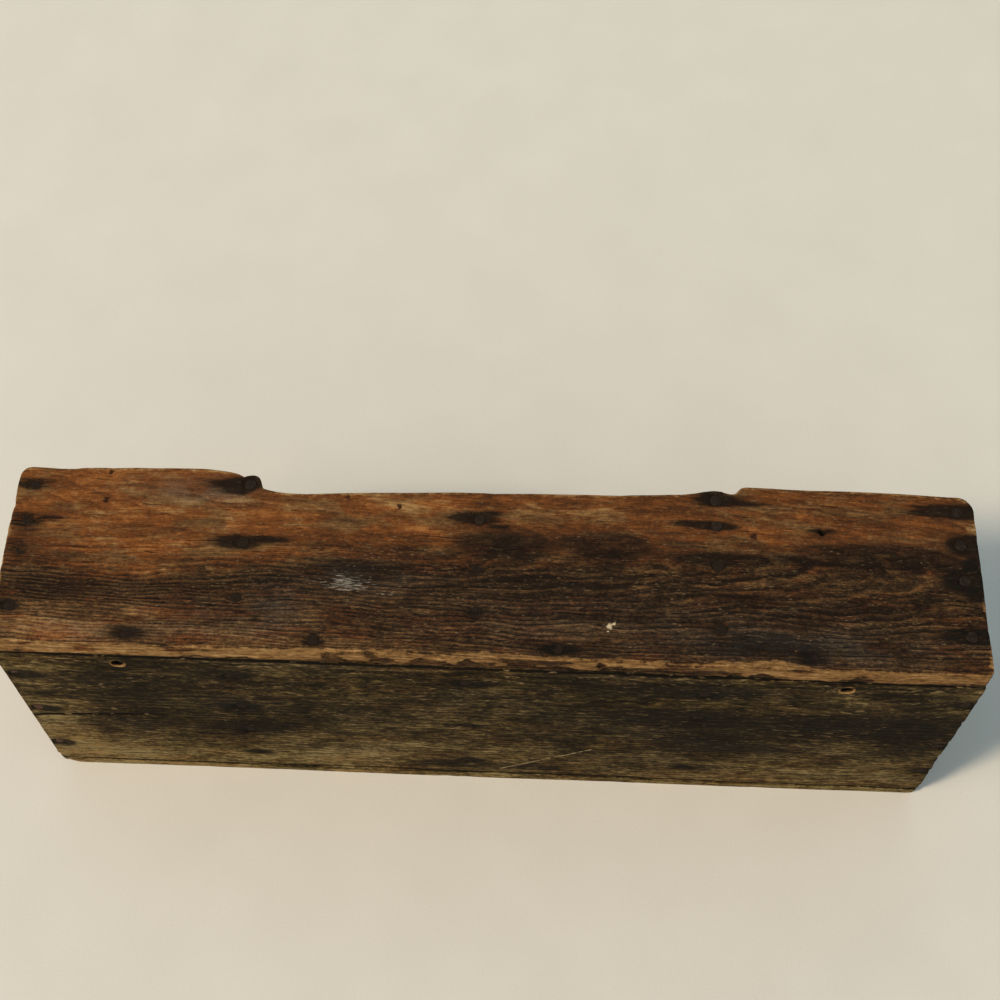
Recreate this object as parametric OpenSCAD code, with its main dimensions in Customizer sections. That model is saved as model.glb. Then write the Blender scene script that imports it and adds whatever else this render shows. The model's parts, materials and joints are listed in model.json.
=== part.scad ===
// Long divided box of old pine boards, nailed together and open at the front.
// It stands here the way it hangs on a wall: open front to +Y, plain back to -Y.
// X runs along the length, Z is up, and the underside of the lower board is Z = 0.

/* [Box] */
// Length over the end boards, along X
length = 550; // [500:1:640]
// Depth from the back face to the front rim, along Y
depth = 114; // [100:1:150]
// Height over the top and lower boards, along Z
height = 188; // [165:1:240]

/* [Boards] */
// Thickness of the top and lower boards
side_t = 16; // [13:0.5:20]
// Thickness of the back board
back_t = 16; // [13:0.5:20]
// Thickness of the two end boards
end_t = 16; // [13:0.5:20]
// Thickness of the three dividers
divider_t = 14; // [12:0.5:20]
// Set-back of the dividers' front edges behind the rim
divider_setback = 2; // [0:0.5:8]

/* [Compartments] */
// Clear width of the first compartment from the left
bay_1 = 109; // [70:1:125]
// Clear width of the second compartment
bay_2 = 119; // [70:1:135]
// Clear width of the third compartment, the fourth takes what is left
bay_3 = 121; // [70:1:135]

/* [Wear] */
// Radius worn on the long edges of the boards
worn_edge = 2; // [0.5:0.25:4]
// Radius on the sawn edges of the upright boards
sawn_edge = 0.5; // [0.2:0.1:1]
// Radius worn on the front corners at the left end
corner_left = 5; // [3:0.5:12]
// Radius worn on the front corners at the right end
corner_right = 10; // [3:0.5:12]
// Radius worn on the back corners
corner_back = 4; // [3:0.5:12]
// Radius of the lower left back corner, worn most
corner_dragged = 8; // [3:0.5:12]

/* [Split-away rim of the top board] */
// Depth of the split at its left end
split_deep = 15; // [8:0.5:18]
// Depth of the split at its right end
split_shallow = 5.5; // [3:0.5:8]
// Depth of the worn shoulder beside the left step
split_shoulder = 3.8; // [1:0.2:5]
// Run of the worn shoulder's slope
shoulder_run = 13; // [6:0.5:20]
// Run of the flat shoulder between its slope and the left step
shoulder_flat = 8; // [4:0.5:12]
// Run of the steep left step
left_run = 9; // [4:0.5:14]
// Run of the steep right step
right_run = 5; // [3:0.5:10]
// Height of the knuckle of wood left round the right nail
knuckle = 2.2; // [0.2:0.2:3]
// Half width of the knuckle
knuckle_half = 7; // [4:0.5:10]
// Left step, measured from the left divider's centre line
left_step = 9; // [7:0.5:14]
// Right step, measured from the right divider's centre line
right_step = 15; // [10:0.5:20]

/* [Hanging holes] */
// Distance between the two hanging holes
hang_spacing = 406.4; // [380:0.2:430]
// Shift of the pair to the left of the middle
hang_shift = 3.6; // [0:0.2:8]
// Drop of the hole centres below the underside of the top board
hang_drop = 10; // [8:0.5:16]
// Diameter of a hanging hole
hang_d = 7; // [5:0.5:9]

/* [Drying cracks] */
// Length of the short crack at a nail in the top board's left end
short_crack_length = 31; // [15:1:60]
// Width of the short crack where it opens
short_crack_mouth = 1; // [0.4:0.1:2]
// Length of the back board's crack from the left end
crack_length = 96; // [40:1:110]
// Width of the back board's crack where it opens
crack_mouth = 1.2; // [0.6:0.1:2]
// Drop of that crack's mouth below the left end's middle nail
crack_drop = 11; // [11:0.5:16]
// Rise of that crack along its length
crack_rise = 9; // [0:0.5:9]

/* [Nails] */
// Length of a nail over its head
nail_length = 50; // [40:1:55]
// Diameter of a nail's shank
nail_d = 3.2; // [2.6:0.1:3.8]
// Diameter of a nail's head
head_d = 7.5; // [6:0.1:8.5]
// Thickness of a nail's head
head_t = 1.4; // [1:0.1:2]
// Depth of the heads below the wood
head_sink = 0.4; // [0.2:0.1:1]
// Length of a nail's point
point_length = 5; // [3:0.5:8]
// Side step that keeps crossing nails clear of each other
nail_stagger = 2.2; // [2:0.1:2.6]
// Distance from a board's edge to the outermost nail
nail_margin = 6; // [5:0.5:9]
// Distance of the nail right of the left hanging hole
left_hole_nail = 9; // [7:0.5:30]
// Distance of the nail left of the right hanging hole
right_hole_nail = 24; // [7:0.5:40]
// Clearance between a nail and its hole
nail_fit = 0.05; // [0.02:0.01:0.1]

/* [Hidden] */
$fn = 48;
// Inner height and inner back plane
inner_z0 = side_t;
inner_z1 = height - side_t;
inner_h = inner_z1 - inner_z0;
back_y = -depth / 2;
rim_y = depth / 2;
inner_back_y = back_y + back_t;
// Centre lines of the end boards and the dividers
end_x = length / 2 - end_t / 2;
divider_1_x = -length / 2 + end_t + bay_1 + divider_t / 2;
divider_2_x = divider_1_x + divider_t + bay_2;
divider_3_x = divider_2_x + divider_t + bay_3;
divider_front = rim_y - divider_setback;
// Hand-spaced nail rows, as shares of the edge that they are driven into, from the back or from below
left_end_rows = [0, 0.41, 0.63, 0.89];
right_end_rows = [0.02, 0.42, 0.68, 0.93];
divider_1_rows = [0.12, 0.53, 0.98];
divider_2_rows = [0.07, 0.4, 0.77];
divider_3_rows = [0.01, 0.48, 0.78, 0.98];
left_upright_rows = [0.09, 0.48, 0.83];
right_upright_rows = [0.13, 0.42, 0.86];
upright_1_rows = [0.06, 0.32, 0.58, 0.88];
upright_2_rows = [0.06, 0.45, 0.89];
upright_3_rows = [0.06, 0.64, 0.87];
edge_nail_share = 0.34;
// Rows of the nails beside the two drying cracks
split_row = 2;
middle_row = 1;
// Overlap of a cut past the face that it opens
cut_past = 1;
// Hanging holes and the nails into the back board's long edges
hang_z = inner_z1 - hang_drop;
hang_x = [-hang_shift - hang_spacing / 2, -hang_shift + hang_spacing / 2];
edge_nail_x = [
    hang_x[0] + left_hole_nail,
    divider_1_x + divider_t / 2 + edge_nail_share * bay_2,
    divider_2_x + divider_t / 2 + edge_nail_share * bay_3,
    hang_x[1] - right_hole_nail
];
// Ends of the split-away rim, its slopes included
split_x0 = divider_1_x + left_step - left_run / 2 - shoulder_flat - shoulder_run;
split_x1 = divider_3_x + right_step + right_run / 2;
split_points = 120;
// Corner radii of the long boards, counted from the back left or the lower left
top_corners = [corner_back, corner_back, corner_right, corner_left];
lower_corners = [corner_dragged, corner_back, corner_left, corner_left];
back_corners = [corner_dragged, worn_edge, worn_edge, worn_edge];
// Faces that nails are driven through, as turns of a nail that points down
from_top = [0, 0, 0];
from_below = [180, 0, 0];
from_back = [90, 0, 0];

// Smooth step from 0 to 1
function ease(t) = let (c = min(1, max(0, t))) c * c * (3 - 2 * c);

// Places of a row of nails along Y into the edge of an upright board
function row_y(rows, front) = [
    for (share = rows) inner_back_y + nail_margin + share * (front - inner_back_y - 2 * nail_margin)
];

// Places of a row of nails along Z through the back
function row_z(rows) = [
    for (share = rows) inner_z0 + nail_margin + share * (inner_h - 2 * nail_margin)
];

// Nail places on the top, the underside and the back
function top_row(x, rows, front) = [for (y = row_y(rows, front)) [x, y, height]];
function lower_row(x, rows, front) = [for (y = row_y(rows, front)) [x, y, 0]];
function back_row(x, rows) = [for (z = row_z(rows)) [x, back_y, z]];
function edge_row(z) = [for (x = edge_nail_x) [x, back_y + back_t / 2, z]];

top_left_end = top_row(-end_x + nail_stagger, left_end_rows, rim_y);
top_right_end = top_row(end_x - nail_stagger, right_end_rows, rim_y);
top_divider_1 = top_row(divider_1_x + nail_stagger, divider_1_rows, divider_front);
top_divider_2 = top_row(divider_2_x + nail_stagger, divider_2_rows, divider_front);
top_divider_3 = top_row(divider_3_x + nail_stagger, divider_3_rows, divider_front);
top_back = edge_row(height);
lower_left_end = lower_row(-end_x + nail_stagger, right_end_rows, rim_y);
lower_right_end = lower_row(end_x - nail_stagger, left_end_rows, rim_y);
lower_divider_1 = lower_row(divider_1_x + nail_stagger, divider_2_rows, divider_front);
lower_divider_2 = lower_row(divider_2_x + nail_stagger, divider_1_rows, divider_front);
lower_divider_3 = lower_row(divider_3_x + nail_stagger, divider_2_rows, divider_front);
lower_back = edge_row(0);
back_left_end = back_row(-end_x - nail_stagger, left_upright_rows);
back_right_end = back_row(end_x + nail_stagger, right_upright_rows);
back_divider_1 = back_row(divider_1_x - nail_stagger, upright_1_rows);
back_divider_2 = back_row(divider_2_x - nail_stagger, upright_2_rows);
back_divider_3 = back_row(divider_3_x - nail_stagger, upright_3_rows);

// Flat rectangle about the origin with one radius per corner, counted from the lower left
module worn_rect(w, h, radii) {
    corners = [[-1, -1], [1, -1], [1, 1], [-1, 1]];
    difference() {
        square([w, h], center = true);
        for (i = [0:3])
            translate([corners[i][0] * w / 2, corners[i][1] * h / 2])
                difference() {
                    square(2 * radii[i], center = true);
                    translate([-corners[i][0] * radii[i], -corners[i][1] * radii[i]])
                        circle(radii[i]);
                }
    }
}

// Board about the origin with worn edges: three outlines cut each other
module worn_board(size, plan_radii, edge) {
    edges = [edge, edge, edge, edge];
    intersection() {
        linear_extrude(size[2], center = true)
            worn_rect(size[0], size[1], plan_radii);
        rotate([90, 0, 90])
            linear_extrude(size[0] + cut_past, center = true)
                worn_rect(size[1], size[2], edges);
        rotate([90, 0, 0])
            linear_extrude(size[1] + cut_past, center = true)
                worn_rect(size[0], size[2], edges);
    }
}

// Depth of the split-away rim at a place along X: shoulder, step, slanting floor, knuckle, step
function split_depth(x) =
    let (
        deep_x = divider_1_x + left_step,
        shallow_x = divider_3_x + right_step,
        along = (x - deep_x) / (shallow_x - deep_x),
        floor_depth = split_deep + (split_shallow - split_deep) * along,
        shoulder = split_shoulder * ease((x - split_x0) / shoulder_run),
        step = (floor_depth - split_shoulder) * ease((x - deep_x + left_run / 2) / left_run),
        bump = knuckle * exp(-pow((x - divider_3_x) / knuckle_half, 2))
    )
    max(0, shoulder + step - bump) * ease((split_x1 - x) / right_run);

// Outline of the wood that is split away from the front rim of the top board
module split_rim() {
    pitch = (split_x1 - split_x0) / split_points;
    floor_line = [
        for (i = [0:split_points]) [split_x0 + i * pitch, rim_y - split_depth(split_x0 + i * pitch)]
    ];
    polygon(concat(floor_line, [[split_x1, rim_y + cut_past], [split_x0, rim_y + cut_past]]));
}

// Thin wedge of a drying crack from the left end, in the plane of the board's face
module crack_wedge(mouth, reach, rise) {
    polygon([
        [-length / 2 - cut_past, -mouth / 2],
        [-length / 2 + reach, rise],
        [-length / 2 - cut_past, mouth / 2]
    ]);
}

// Wire nail with a flat head, pointing down from the face at the origin
module nail() {
    rotate_extrude()
        polygon([
            [0, -head_sink],
            [head_d / 2, -head_sink],
            [head_d / 2, -head_sink - head_t],
            [nail_d / 2, -head_sink - head_t],
            [nail_d / 2, -nail_length + point_length],
            [0, -nail_length]
        ]);
}

// Hole that a nail sits in, open at the face
module nail_hole() {
    translate([0, 0, -nail_length - nail_fit])
        cylinder(h = nail_length + nail_fit + cut_past, d = nail_d + 2 * nail_fit);
    translate([0, 0, -head_sink - head_t])
        cylinder(h = head_sink + head_t + cut_past, d = head_d + 2 * nail_fit);
}

module nails_at(places, face) {
    color("#3b2a22")
        for (place = places)
            translate(place)
                rotate(face)
                    nail();
}

module holes_at(places, face) {
    for (place = places)
        translate(place)
            rotate(face)
                nail_hole();
}

// Brown side board, its front rim split away between two nails
module top_board() {
    color("#6b4426")
        difference() {
            translate([0, 0, height - side_t / 2])
                worn_board([length, depth, side_t], top_corners, worn_edge);
            translate([0, 0, inner_z1 - cut_past])
                linear_extrude(side_t + 2 * cut_past)
                    split_rim();
            translate([0, top_left_end[split_row][1], inner_z1 - cut_past])
                linear_extrude(side_t + 2 * cut_past)
                    crack_wedge(short_crack_mouth, short_crack_length, 0);
            holes_at(top_left_end, from_top);
            holes_at(top_right_end, from_top);
            holes_at(top_divider_1, from_top);
            holes_at(top_divider_2, from_top);
            holes_at(top_divider_3, from_top);
            holes_at(top_back, from_top);
        }
}

// The other side board, plain
module lower_board() {
    color("#6f4c2c")
        difference() {
            translate([0, 0, side_t / 2])
                worn_board([length, depth, side_t], lower_corners, worn_edge);
            holes_at(lower_left_end, from_below);
            holes_at(lower_right_end, from_below);
            holes_at(lower_divider_1, from_below);
            holes_at(lower_divider_2, from_below);
            holes_at(lower_divider_3, from_below);
            holes_at(lower_back, from_below);
        }
}

// Grey back board between the side boards, with two hanging holes
module back_board() {
    color("#5a5038")
        difference() {
            translate([0, back_y + back_t / 2, height / 2])
                rotate([90, 0, 0])
                    worn_board([length, inner_h, back_t], back_corners, worn_edge);
            for (x = hang_x)
                translate([x, back_y - cut_past, hang_z])
                    rotate([-90, 0, 0])
                        cylinder(h = back_t + 2 * cut_past, d = hang_d);
            translate([0, inner_back_y + cut_past, back_left_end[middle_row][2] - crack_drop])
                rotate([90, 0, 0])
                    linear_extrude(back_t + 2 * cut_past)
                        crack_wedge(crack_mouth, crack_length, crack_rise);
            holes_at(top_back, from_top);
            holes_at(lower_back, from_below);
            holes_at(back_left_end, from_back);
            holes_at(back_right_end, from_back);
            holes_at(back_divider_1, from_back);
            holes_at(back_divider_2, from_back);
            holes_at(back_divider_3, from_back);
        }
}

// Upright board between the side boards, from the back board to the front
module upright(x, thickness, front) {
    y_size = front - inner_back_y;
    translate([x, inner_back_y + y_size / 2, height / 2])
        worn_board([thickness, y_size, inner_h], [sawn_edge, sawn_edge, worn_edge, worn_edge], sawn_edge);
}

module left_end() {
    color("#7a5a34")
        difference() {
            upright(-end_x, end_t, rim_y);
            holes_at(top_left_end, from_top);
            holes_at(lower_left_end, from_below);
            holes_at(back_left_end, from_back);
        }
}

module right_end() {
    color("#7a5a34")
        difference() {
            upright(end_x, end_t, rim_y);
            holes_at(top_right_end, from_top);
            holes_at(lower_right_end, from_below);
            holes_at(back_right_end, from_back);
        }
}

module left_divider() {
    color("#84643c")
        difference() {
            upright(divider_1_x, divider_t, divider_front);
            holes_at(top_divider_1, from_top);
            holes_at(lower_divider_1, from_below);
            holes_at(back_divider_1, from_back);
        }
}

module middle_divider() {
    color("#84643c")
        difference() {
            upright(divider_2_x, divider_t, divider_front);
            holes_at(top_divider_2, from_top);
            holes_at(lower_divider_2, from_below);
            holes_at(back_divider_2, from_back);
        }
}

module right_divider() {
    color("#84643c")
        difference() {
            upright(divider_3_x, divider_t, divider_front);
            holes_at(top_divider_3, from_top);
            holes_at(lower_divider_3, from_below);
            holes_at(back_divider_3, from_back);
        }
}

module top_nails_left_end() nails_at(top_left_end, from_top);
module top_nails_right_end() nails_at(top_right_end, from_top);
module top_nails_left_divider() nails_at(top_divider_1, from_top);
module top_nails_middle_divider() nails_at(top_divider_2, from_top);
module top_nails_right_divider() nails_at(top_divider_3, from_top);
module top_nails_back() nails_at(top_back, from_top);
module lower_nails_left_end() nails_at(lower_left_end, from_below);
module lower_nails_right_end() nails_at(lower_right_end, from_below);
module lower_nails_left_divider() nails_at(lower_divider_1, from_below);
module lower_nails_middle_divider() nails_at(lower_divider_2, from_below);
module lower_nails_right_divider() nails_at(lower_divider_3, from_below);
module lower_nails_back() nails_at(lower_back, from_below);
module back_nails_left_end() nails_at(back_left_end, from_back);
module back_nails_right_end() nails_at(back_right_end, from_back);
module back_nails_left_divider() nails_at(back_divider_1, from_back);
module back_nails_middle_divider() nails_at(back_divider_2, from_back);
module back_nails_right_divider() nails_at(back_divider_3, from_back);

top_board();
lower_board();
back_board();
left_end();
right_end();
left_divider();
middle_divider();
right_divider();
top_nails_left_end();
top_nails_right_end();
top_nails_left_divider();
top_nails_middle_divider();
top_nails_right_divider();
top_nails_back();
lower_nails_left_end();
lower_nails_right_end();
lower_nails_left_divider();
lower_nails_middle_divider();
lower_nails_right_divider();
lower_nails_back();
back_nails_left_end();
back_nails_right_end();
back_nails_left_divider();
back_nails_middle_divider();
back_nails_right_divider();
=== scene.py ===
# %% [markdown]
# # A divided box of old nailed boards
#
# The object is a long shallow box of eight rough boards held by wire nails. One side is open, and three
# dividers make four bays. The packed model is the frame: every board and nail has its place there. This
# lesson keeps those places, rebuilds each board as a worn skin worked out with numpy, and gives every
# face a finish made of nodes. Colouring the plain solids would be quicker, but splits, dents and sunken
# nails are shapes, so they are made as shapes. Lengths are in millimetres until a mesh is written.

import json
from collections import namedtuple

import bpy
import numpy as np
from mathutils import Matrix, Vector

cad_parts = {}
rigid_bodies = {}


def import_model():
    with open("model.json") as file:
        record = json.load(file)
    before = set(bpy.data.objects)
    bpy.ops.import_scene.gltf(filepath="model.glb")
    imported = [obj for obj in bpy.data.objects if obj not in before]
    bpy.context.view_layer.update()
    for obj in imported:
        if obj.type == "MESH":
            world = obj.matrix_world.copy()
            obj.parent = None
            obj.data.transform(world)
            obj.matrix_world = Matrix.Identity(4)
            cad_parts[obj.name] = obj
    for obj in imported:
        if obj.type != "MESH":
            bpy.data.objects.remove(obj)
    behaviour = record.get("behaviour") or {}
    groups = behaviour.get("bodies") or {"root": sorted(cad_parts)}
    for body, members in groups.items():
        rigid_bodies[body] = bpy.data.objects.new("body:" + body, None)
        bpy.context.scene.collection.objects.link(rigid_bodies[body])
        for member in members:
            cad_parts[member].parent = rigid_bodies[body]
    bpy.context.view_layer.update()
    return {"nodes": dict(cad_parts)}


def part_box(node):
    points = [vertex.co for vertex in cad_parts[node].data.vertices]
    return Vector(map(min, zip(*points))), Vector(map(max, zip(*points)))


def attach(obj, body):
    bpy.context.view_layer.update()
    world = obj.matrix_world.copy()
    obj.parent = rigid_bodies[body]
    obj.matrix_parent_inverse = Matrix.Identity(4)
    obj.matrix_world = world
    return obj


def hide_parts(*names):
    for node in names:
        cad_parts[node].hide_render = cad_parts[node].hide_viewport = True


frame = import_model()
scene = bpy.context.scene


# %% [markdown]
# ## Where the boards and nails are
#
# The nails sit in rows, and each row is one node of the frame. Their places could be typed in again, but
# then two lists would have to agree. So they are measured from the packed meshes: the outermost ring of
# points of a row belongs to the nail heads, and a jump along the row starts the next nail.

# %% Measure boards and nail heads
MM = 0.001
X_AXIS, Y_AXIS, Z_AXIS = 0, 1, 2
# Axis of the face that a row is driven into, and the side of the box that it is on
DRIVEN = {"top": (Z_AXIS, 1), "lower": (Z_AXIS, -1), "back": (Y_AXIS, -1)}
# Points this near the outermost plane belong to heads, and a jump this long starts the next nail
HEAD_PLANE, NEXT_NAIL = 0.05, 3


def board_box(node):
    """Lowest and highest corner of a packed node, in millimetres."""
    low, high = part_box(node)
    return np.round(np.array(low) / MM, 3), np.round(np.array(high) / MM, 3)


def driven_face(node):
    """The face that a row of nails is driven into: the first word of its name."""
    return node.split("_")[0]


def in_face(face):
    """The two axes that lie in a face, X first."""
    return [axis for axis in range(3) if axis != DRIVEN[face][0]]


def head_centres(node):
    """Centres of the nail heads of a row: the points next to the outermost plane are sorted along the
    row, split where they jump to the next nail, and each group gives the middle of its own box."""
    axis, side = DRIVEN[driven_face(node)]
    mesh = frame["nodes"][node].data
    numbers = np.empty(3 * len(mesh.vertices), np.float32)
    mesh.vertices.foreach_get("co", numbers)
    points = numbers.reshape(-1, 3).astype(float) / MM
    reach = side * points[:, axis]
    heads = points[reach > reach.max() - HEAD_PLANE]
    row = int(np.argmax(np.ptp(heads, axis=0)))
    heads = heads[np.argsort(heads[:, row])]
    groups = np.split(heads, np.flatnonzero(np.diff(heads[:, row]) > NEXT_NAIL) + 1)
    return np.array([(group.min(0) + group.max(0)) / 2 for group in groups])


nail_rows = {node: head_centres(node) for node in sorted(frame["nodes"]) if "_nails_" in node}
face_nails = {
    face: np.concatenate([heads for node, heads in nail_rows.items() if driven_face(node) == face])
    for face in DRIVEN
}
print("nails:", {face: len(heads) for face, heads in face_nails.items()})

# %% [markdown]
# ## Uneven wear
#
# Nothing on an old board is even: edges are rubbed more in one place than in another, and hollows run
# along the grain. Wear like this needs smooth noise that is the same on every run. A table of seeded
# random numbers gives one number to each corner of a lattice of cells, and a smooth blend fills the
# cells. Long cells along one axis turn the same noise into streaks.

# %% Smooth noise
NOISE_TABLE = 8192
# One large prime per axis mixes a cell's corner into a place of the table
CORNER_PRIMES = np.array([73856093, 19349663, 83492791])


def ease(t):
    """Smooth step: t squared times (3 - 2 t), with t held between 0 and 1."""
    t = np.clip(t, 0, 1)
    return t * t * (3 - 2 * t)


def bell(distance, width):
    """Bell curve: e to the power of minus the square of distance over width."""
    return np.exp(-((distance / width) ** 2))


def clouds(points, cell, seed):
    """Smooth noise from 0 to 1. Each corner of a cell has its own random number, and a point takes the
    mean of its cell's eight corners, weighted by the product of the eased shares along the axes."""
    table = np.random.default_rng(seed).random(NOISE_TABLE)
    place = points / np.asarray(cell, float)
    base = np.floor(place).astype(np.int64)
    share = ease(place - base)
    total = np.zeros(len(points))
    for corner in np.ndindex(2, 2, 2):
        key = np.bitwise_xor.reduce((base + corner) * CORNER_PRIMES, axis=1)
        weight = np.prod(np.where(corner, share, 1 - share), axis=1)
        total += weight * table[key % NOISE_TABLE]
    return total


def length_clouds(points, cell, seed):
    """Smooth noise that changes only along the length of the box."""
    return clouds(points * (1, 0, 0), (cell, 1, 1), seed)


def along_grain(grain, long, across):
    """Cell of the noise that is long on the grain axis and narrow on the other two."""
    cell = np.full(3, float(across))
    cell[grain] = long
    return cell


noise_test = clouds(np.random.default_rng(1).random((1000, 3)) * 500, (40, 6, 6), seed=3)
print("noise from", round(noise_test.min(), 2), "to", round(noise_test.max(), 2))

# %% [markdown]
# ## The skin of a board
#
# A sawn board is a box, but a box of six big faces has nothing to bend. A subdivided cube would put
# points evenly everywhere. Here each axis has its own list of places, crowded at the edges and at the
# nails, and the six sides are cut from one lattice, so they share their points and the skin is closed.

# %% Places along an axis
# Points of the fine line that the gaps between places are summed along
FINE_LINE = 6001
# Gap between places at an edge of a board, and how far the crowding reaches from an edge and from a nail
EDGE_GAP, EDGE_REACH, NAIL_REACH = 0.42, 3.2, 4


def ticks(low, high, step, marks):
    """Places along an axis. Their gap is step, and falls to a mark's own fine gap near that mark, as a bell
    curve of its reach. The running sum of 1 / gap, cut into equal shares, gives the places."""
    line = np.linspace(low, high, FINE_LINE)
    gap = np.full(len(line), float(step))
    for place, fine, reach in marks:
        gap = np.minimum(gap, step + (fine - step) * bell(line - place, reach))
    share = np.concatenate([[0], np.cumsum(np.diff(line) * 2 / (gap[1:] + gap[:-1]))])
    return np.interp(np.linspace(0, share[-1], int(np.ceil(share[-1])) + 1), share, line)


def board_ticks(axis, low, high, step, marks=()):
    """Places along one axis of a board, crowded at its two edges and at further marks."""
    edges = [(end[axis], EDGE_GAP, EDGE_REACH) for end in (low, high)]
    return ticks(low[axis], high[axis], step, edges + list(marks))


def nail_marks(face, fine):
    """Marks with a fine gap at the columns of nails of a face."""
    return [(x, fine, NAIL_REACH) for x in sorted(set(np.round(face_nails[face][:, 0], 1)))]


def with_lines(axis, lines, clear):
    """An axis with exact lines put in, after the places nearer than clear to them are taken out."""
    lines = np.asarray(lines, float)
    far = np.abs(axis[:, None] - lines).min(1) > clear
    far[[0, -1]] = True
    return np.sort(np.concatenate([axis[far], lines]))


print("columns of nails:", {face: len(nail_marks(face, 1)) for face in DRIVEN})


# %% Six sides of a lattice
def box_skin(xs, ys, zs):
    """Points on the surface of a lattice, the quads of its six sides with their faces outwards, and the
    lattice of point numbers. On a side, point (i, j) joins (i+1, j), (i+1, j+1) and (i, j+1)."""
    shape = (len(xs), len(ys), len(zs))
    outer = np.ones(shape, bool)
    outer[1:-1, 1:-1, 1:-1] = False
    number = np.full(shape, -1)
    number[outer] = np.arange(outer.sum())
    points = np.stack(np.meshgrid(xs, ys, zs, indexing="ij"), -1)[outer]

    def side(sheet, turn):
        corners = [sheet[:-1, :-1], sheet[1:, :-1], sheet[1:, 1:], sheet[:-1, 1:]]
        quads = np.stack(corners, -1).reshape(-1, 4)
        return quads[:, ::-1] if turn else quads

    quads = np.concatenate([
        side(number[:, :, -1], False), side(number[:, :, 0], True),
        side(number[:, -1, :], True), side(number[:, 0, :], False),
        side(number[-1, :, :], False), side(number[0, :, :], True),
    ])
    return points, quads, number


print("quads of a plain box of 3 by 2 by 1 cells:", len(box_skin(range(4), range(3), range(2))[1]))

# %% [markdown]
# ## Worn edges and corners
#
# Handling rounds the long edges unevenly, and the corners most of all. A bevel modifier has one width, so
# the rounding is worked out here: a point goes back to a smaller box and out again by the local radius.
# The larger corners of a board's outline are rounded in its plane, where square rings about a corner's
# centre become round.

# %% Rounding
# Cells of the slow wear and of the chips, along and across the grain, and what each adds to a radius
SLOW_CELL, CHIP_CELL = (36, 11), (13, 6)
SLOW_WEAR, CHIP_WEAR = 1.5, 3.2


def worn_radius(points, grain, base, seed, wear=1.0):
    """Local radius of an edge: a base, a slow part that follows the grain, and rare deeper chips."""
    slow = clouds(points, along_grain(grain, *SLOW_CELL), seed) ** 2
    chips = clouds(points, along_grain(grain, *CHIP_CELL), seed + 1) ** 6
    return base + wear * (SLOW_WEAR * slow + CHIP_WEAR * chips)


def round_edges(points, low, high, radius):
    """Rounds all edges of a box. A point's core is the point clamped to the box shrunk by the radius; the
    point moves to its core plus the radius along the way from core to point. Returns points and ways."""
    r = radius[:, None]
    core = np.clip(points, low + r, high - r)
    way = points - core
    way = way / np.linalg.norm(way, axis=1, keepdims=True)
    return core + r * way, way


def round_corners(points, low, high, plane, corners):
    """Rounds the outline of a board in one plane. Inside the square of side R at a corner, u and v run
    from the corner's centre, and both are scaled by max(u, v) / sqrt(u u + v v), which turns square rings
    into round ones. A corner's R is one number or one per point."""
    a, b = plane
    points = points.copy()
    for (side_a, side_b), reach in corners.items():
        radius = np.broadcast_to(reach, len(points))
        centre_a = (high[a] if side_a > 0 else low[a]) - side_a * radius
        centre_b = (high[b] if side_b > 0 else low[b]) - side_b * radius
        u = side_a * (points[:, a] - centre_a)
        v = side_b * (points[:, b] - centre_b)
        inside = (u > 0) & (v > 0)
        scale = np.maximum(u, v)[inside] / np.hypot(u, v)[inside]
        points[inside, a] = centre_a[inside] + side_a * u[inside] * scale
        points[inside, b] = centre_b[inside] + side_b * v[inside] * scale
    return points


def edge_gap(points, low, high):
    """Distance from a point on a box's side to the nearest edge: the middle one of its three distances to
    the box's pairs of sides, since the smallest is that to its own side."""
    return np.sort(np.minimum(points - low, high - points), axis=1)[:, 1]


radius_test = worn_radius(np.column_stack([np.arange(550), np.zeros((550, 2))]), X_AXIS, 0.9, seed=11)
print("radius along an edge from", round(radius_test.min(), 2), "to", round(radius_test.max(), 2))

# %% [markdown]
# ## Weathering and nail pits
#
# Soft wood sinks in long hollows, takes small dents, and tears at its sawn ends. Around each nail the
# wood was crushed by the hammer. These depths are numbers in millimetres that are taken off inwards, so a
# board never grows past its solid. The outward way of a point tells which side of the board it lies on,
# and a rounded edge belongs to both of its sides by shares.

# %% Depths of wear
# Cells of each kind of wear, along and across the grain, and how deep it goes
WAVE_CELL, WAVE_DEPTH = (90, 10), 0.3
GROOVE_CELL, GROOVE_DEPTH = (60, 3.2), 0.35
DENT_CELL, DENT_DEPTH = (9, 4.5), 0.9
FIBRE_CELL, LUMP_CELL, TORN_DEPTH = (8, 1.7), (7, 7, 7), 0.9
# Crushed wood at a nail: its depth, how far it reaches from the nail's middle, and the width of its slope
PIT_DEPTH, PIT_REACH, PIT_SLOPE = 0.95, 6.2, 2.8


def facing(way, axis, side):
    """How far a point faces one side of the board: the share of its outward way along that axis."""
    return np.clip(side * way[:, axis], 0, 1)


def belongs_to(way, axis, side):
    """Which points belong to one side: 0 up to a share of 0.3 of the outward way, easing to 1 at 0.7."""
    return ease((side * way[:, axis] - 0.3) / 0.4)


def sawn_end(way, grain):
    """How far a point lies on a sawn end: the fourth power of its outward way's share along the grain."""
    return np.abs(way[:, grain]) ** 4


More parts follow.
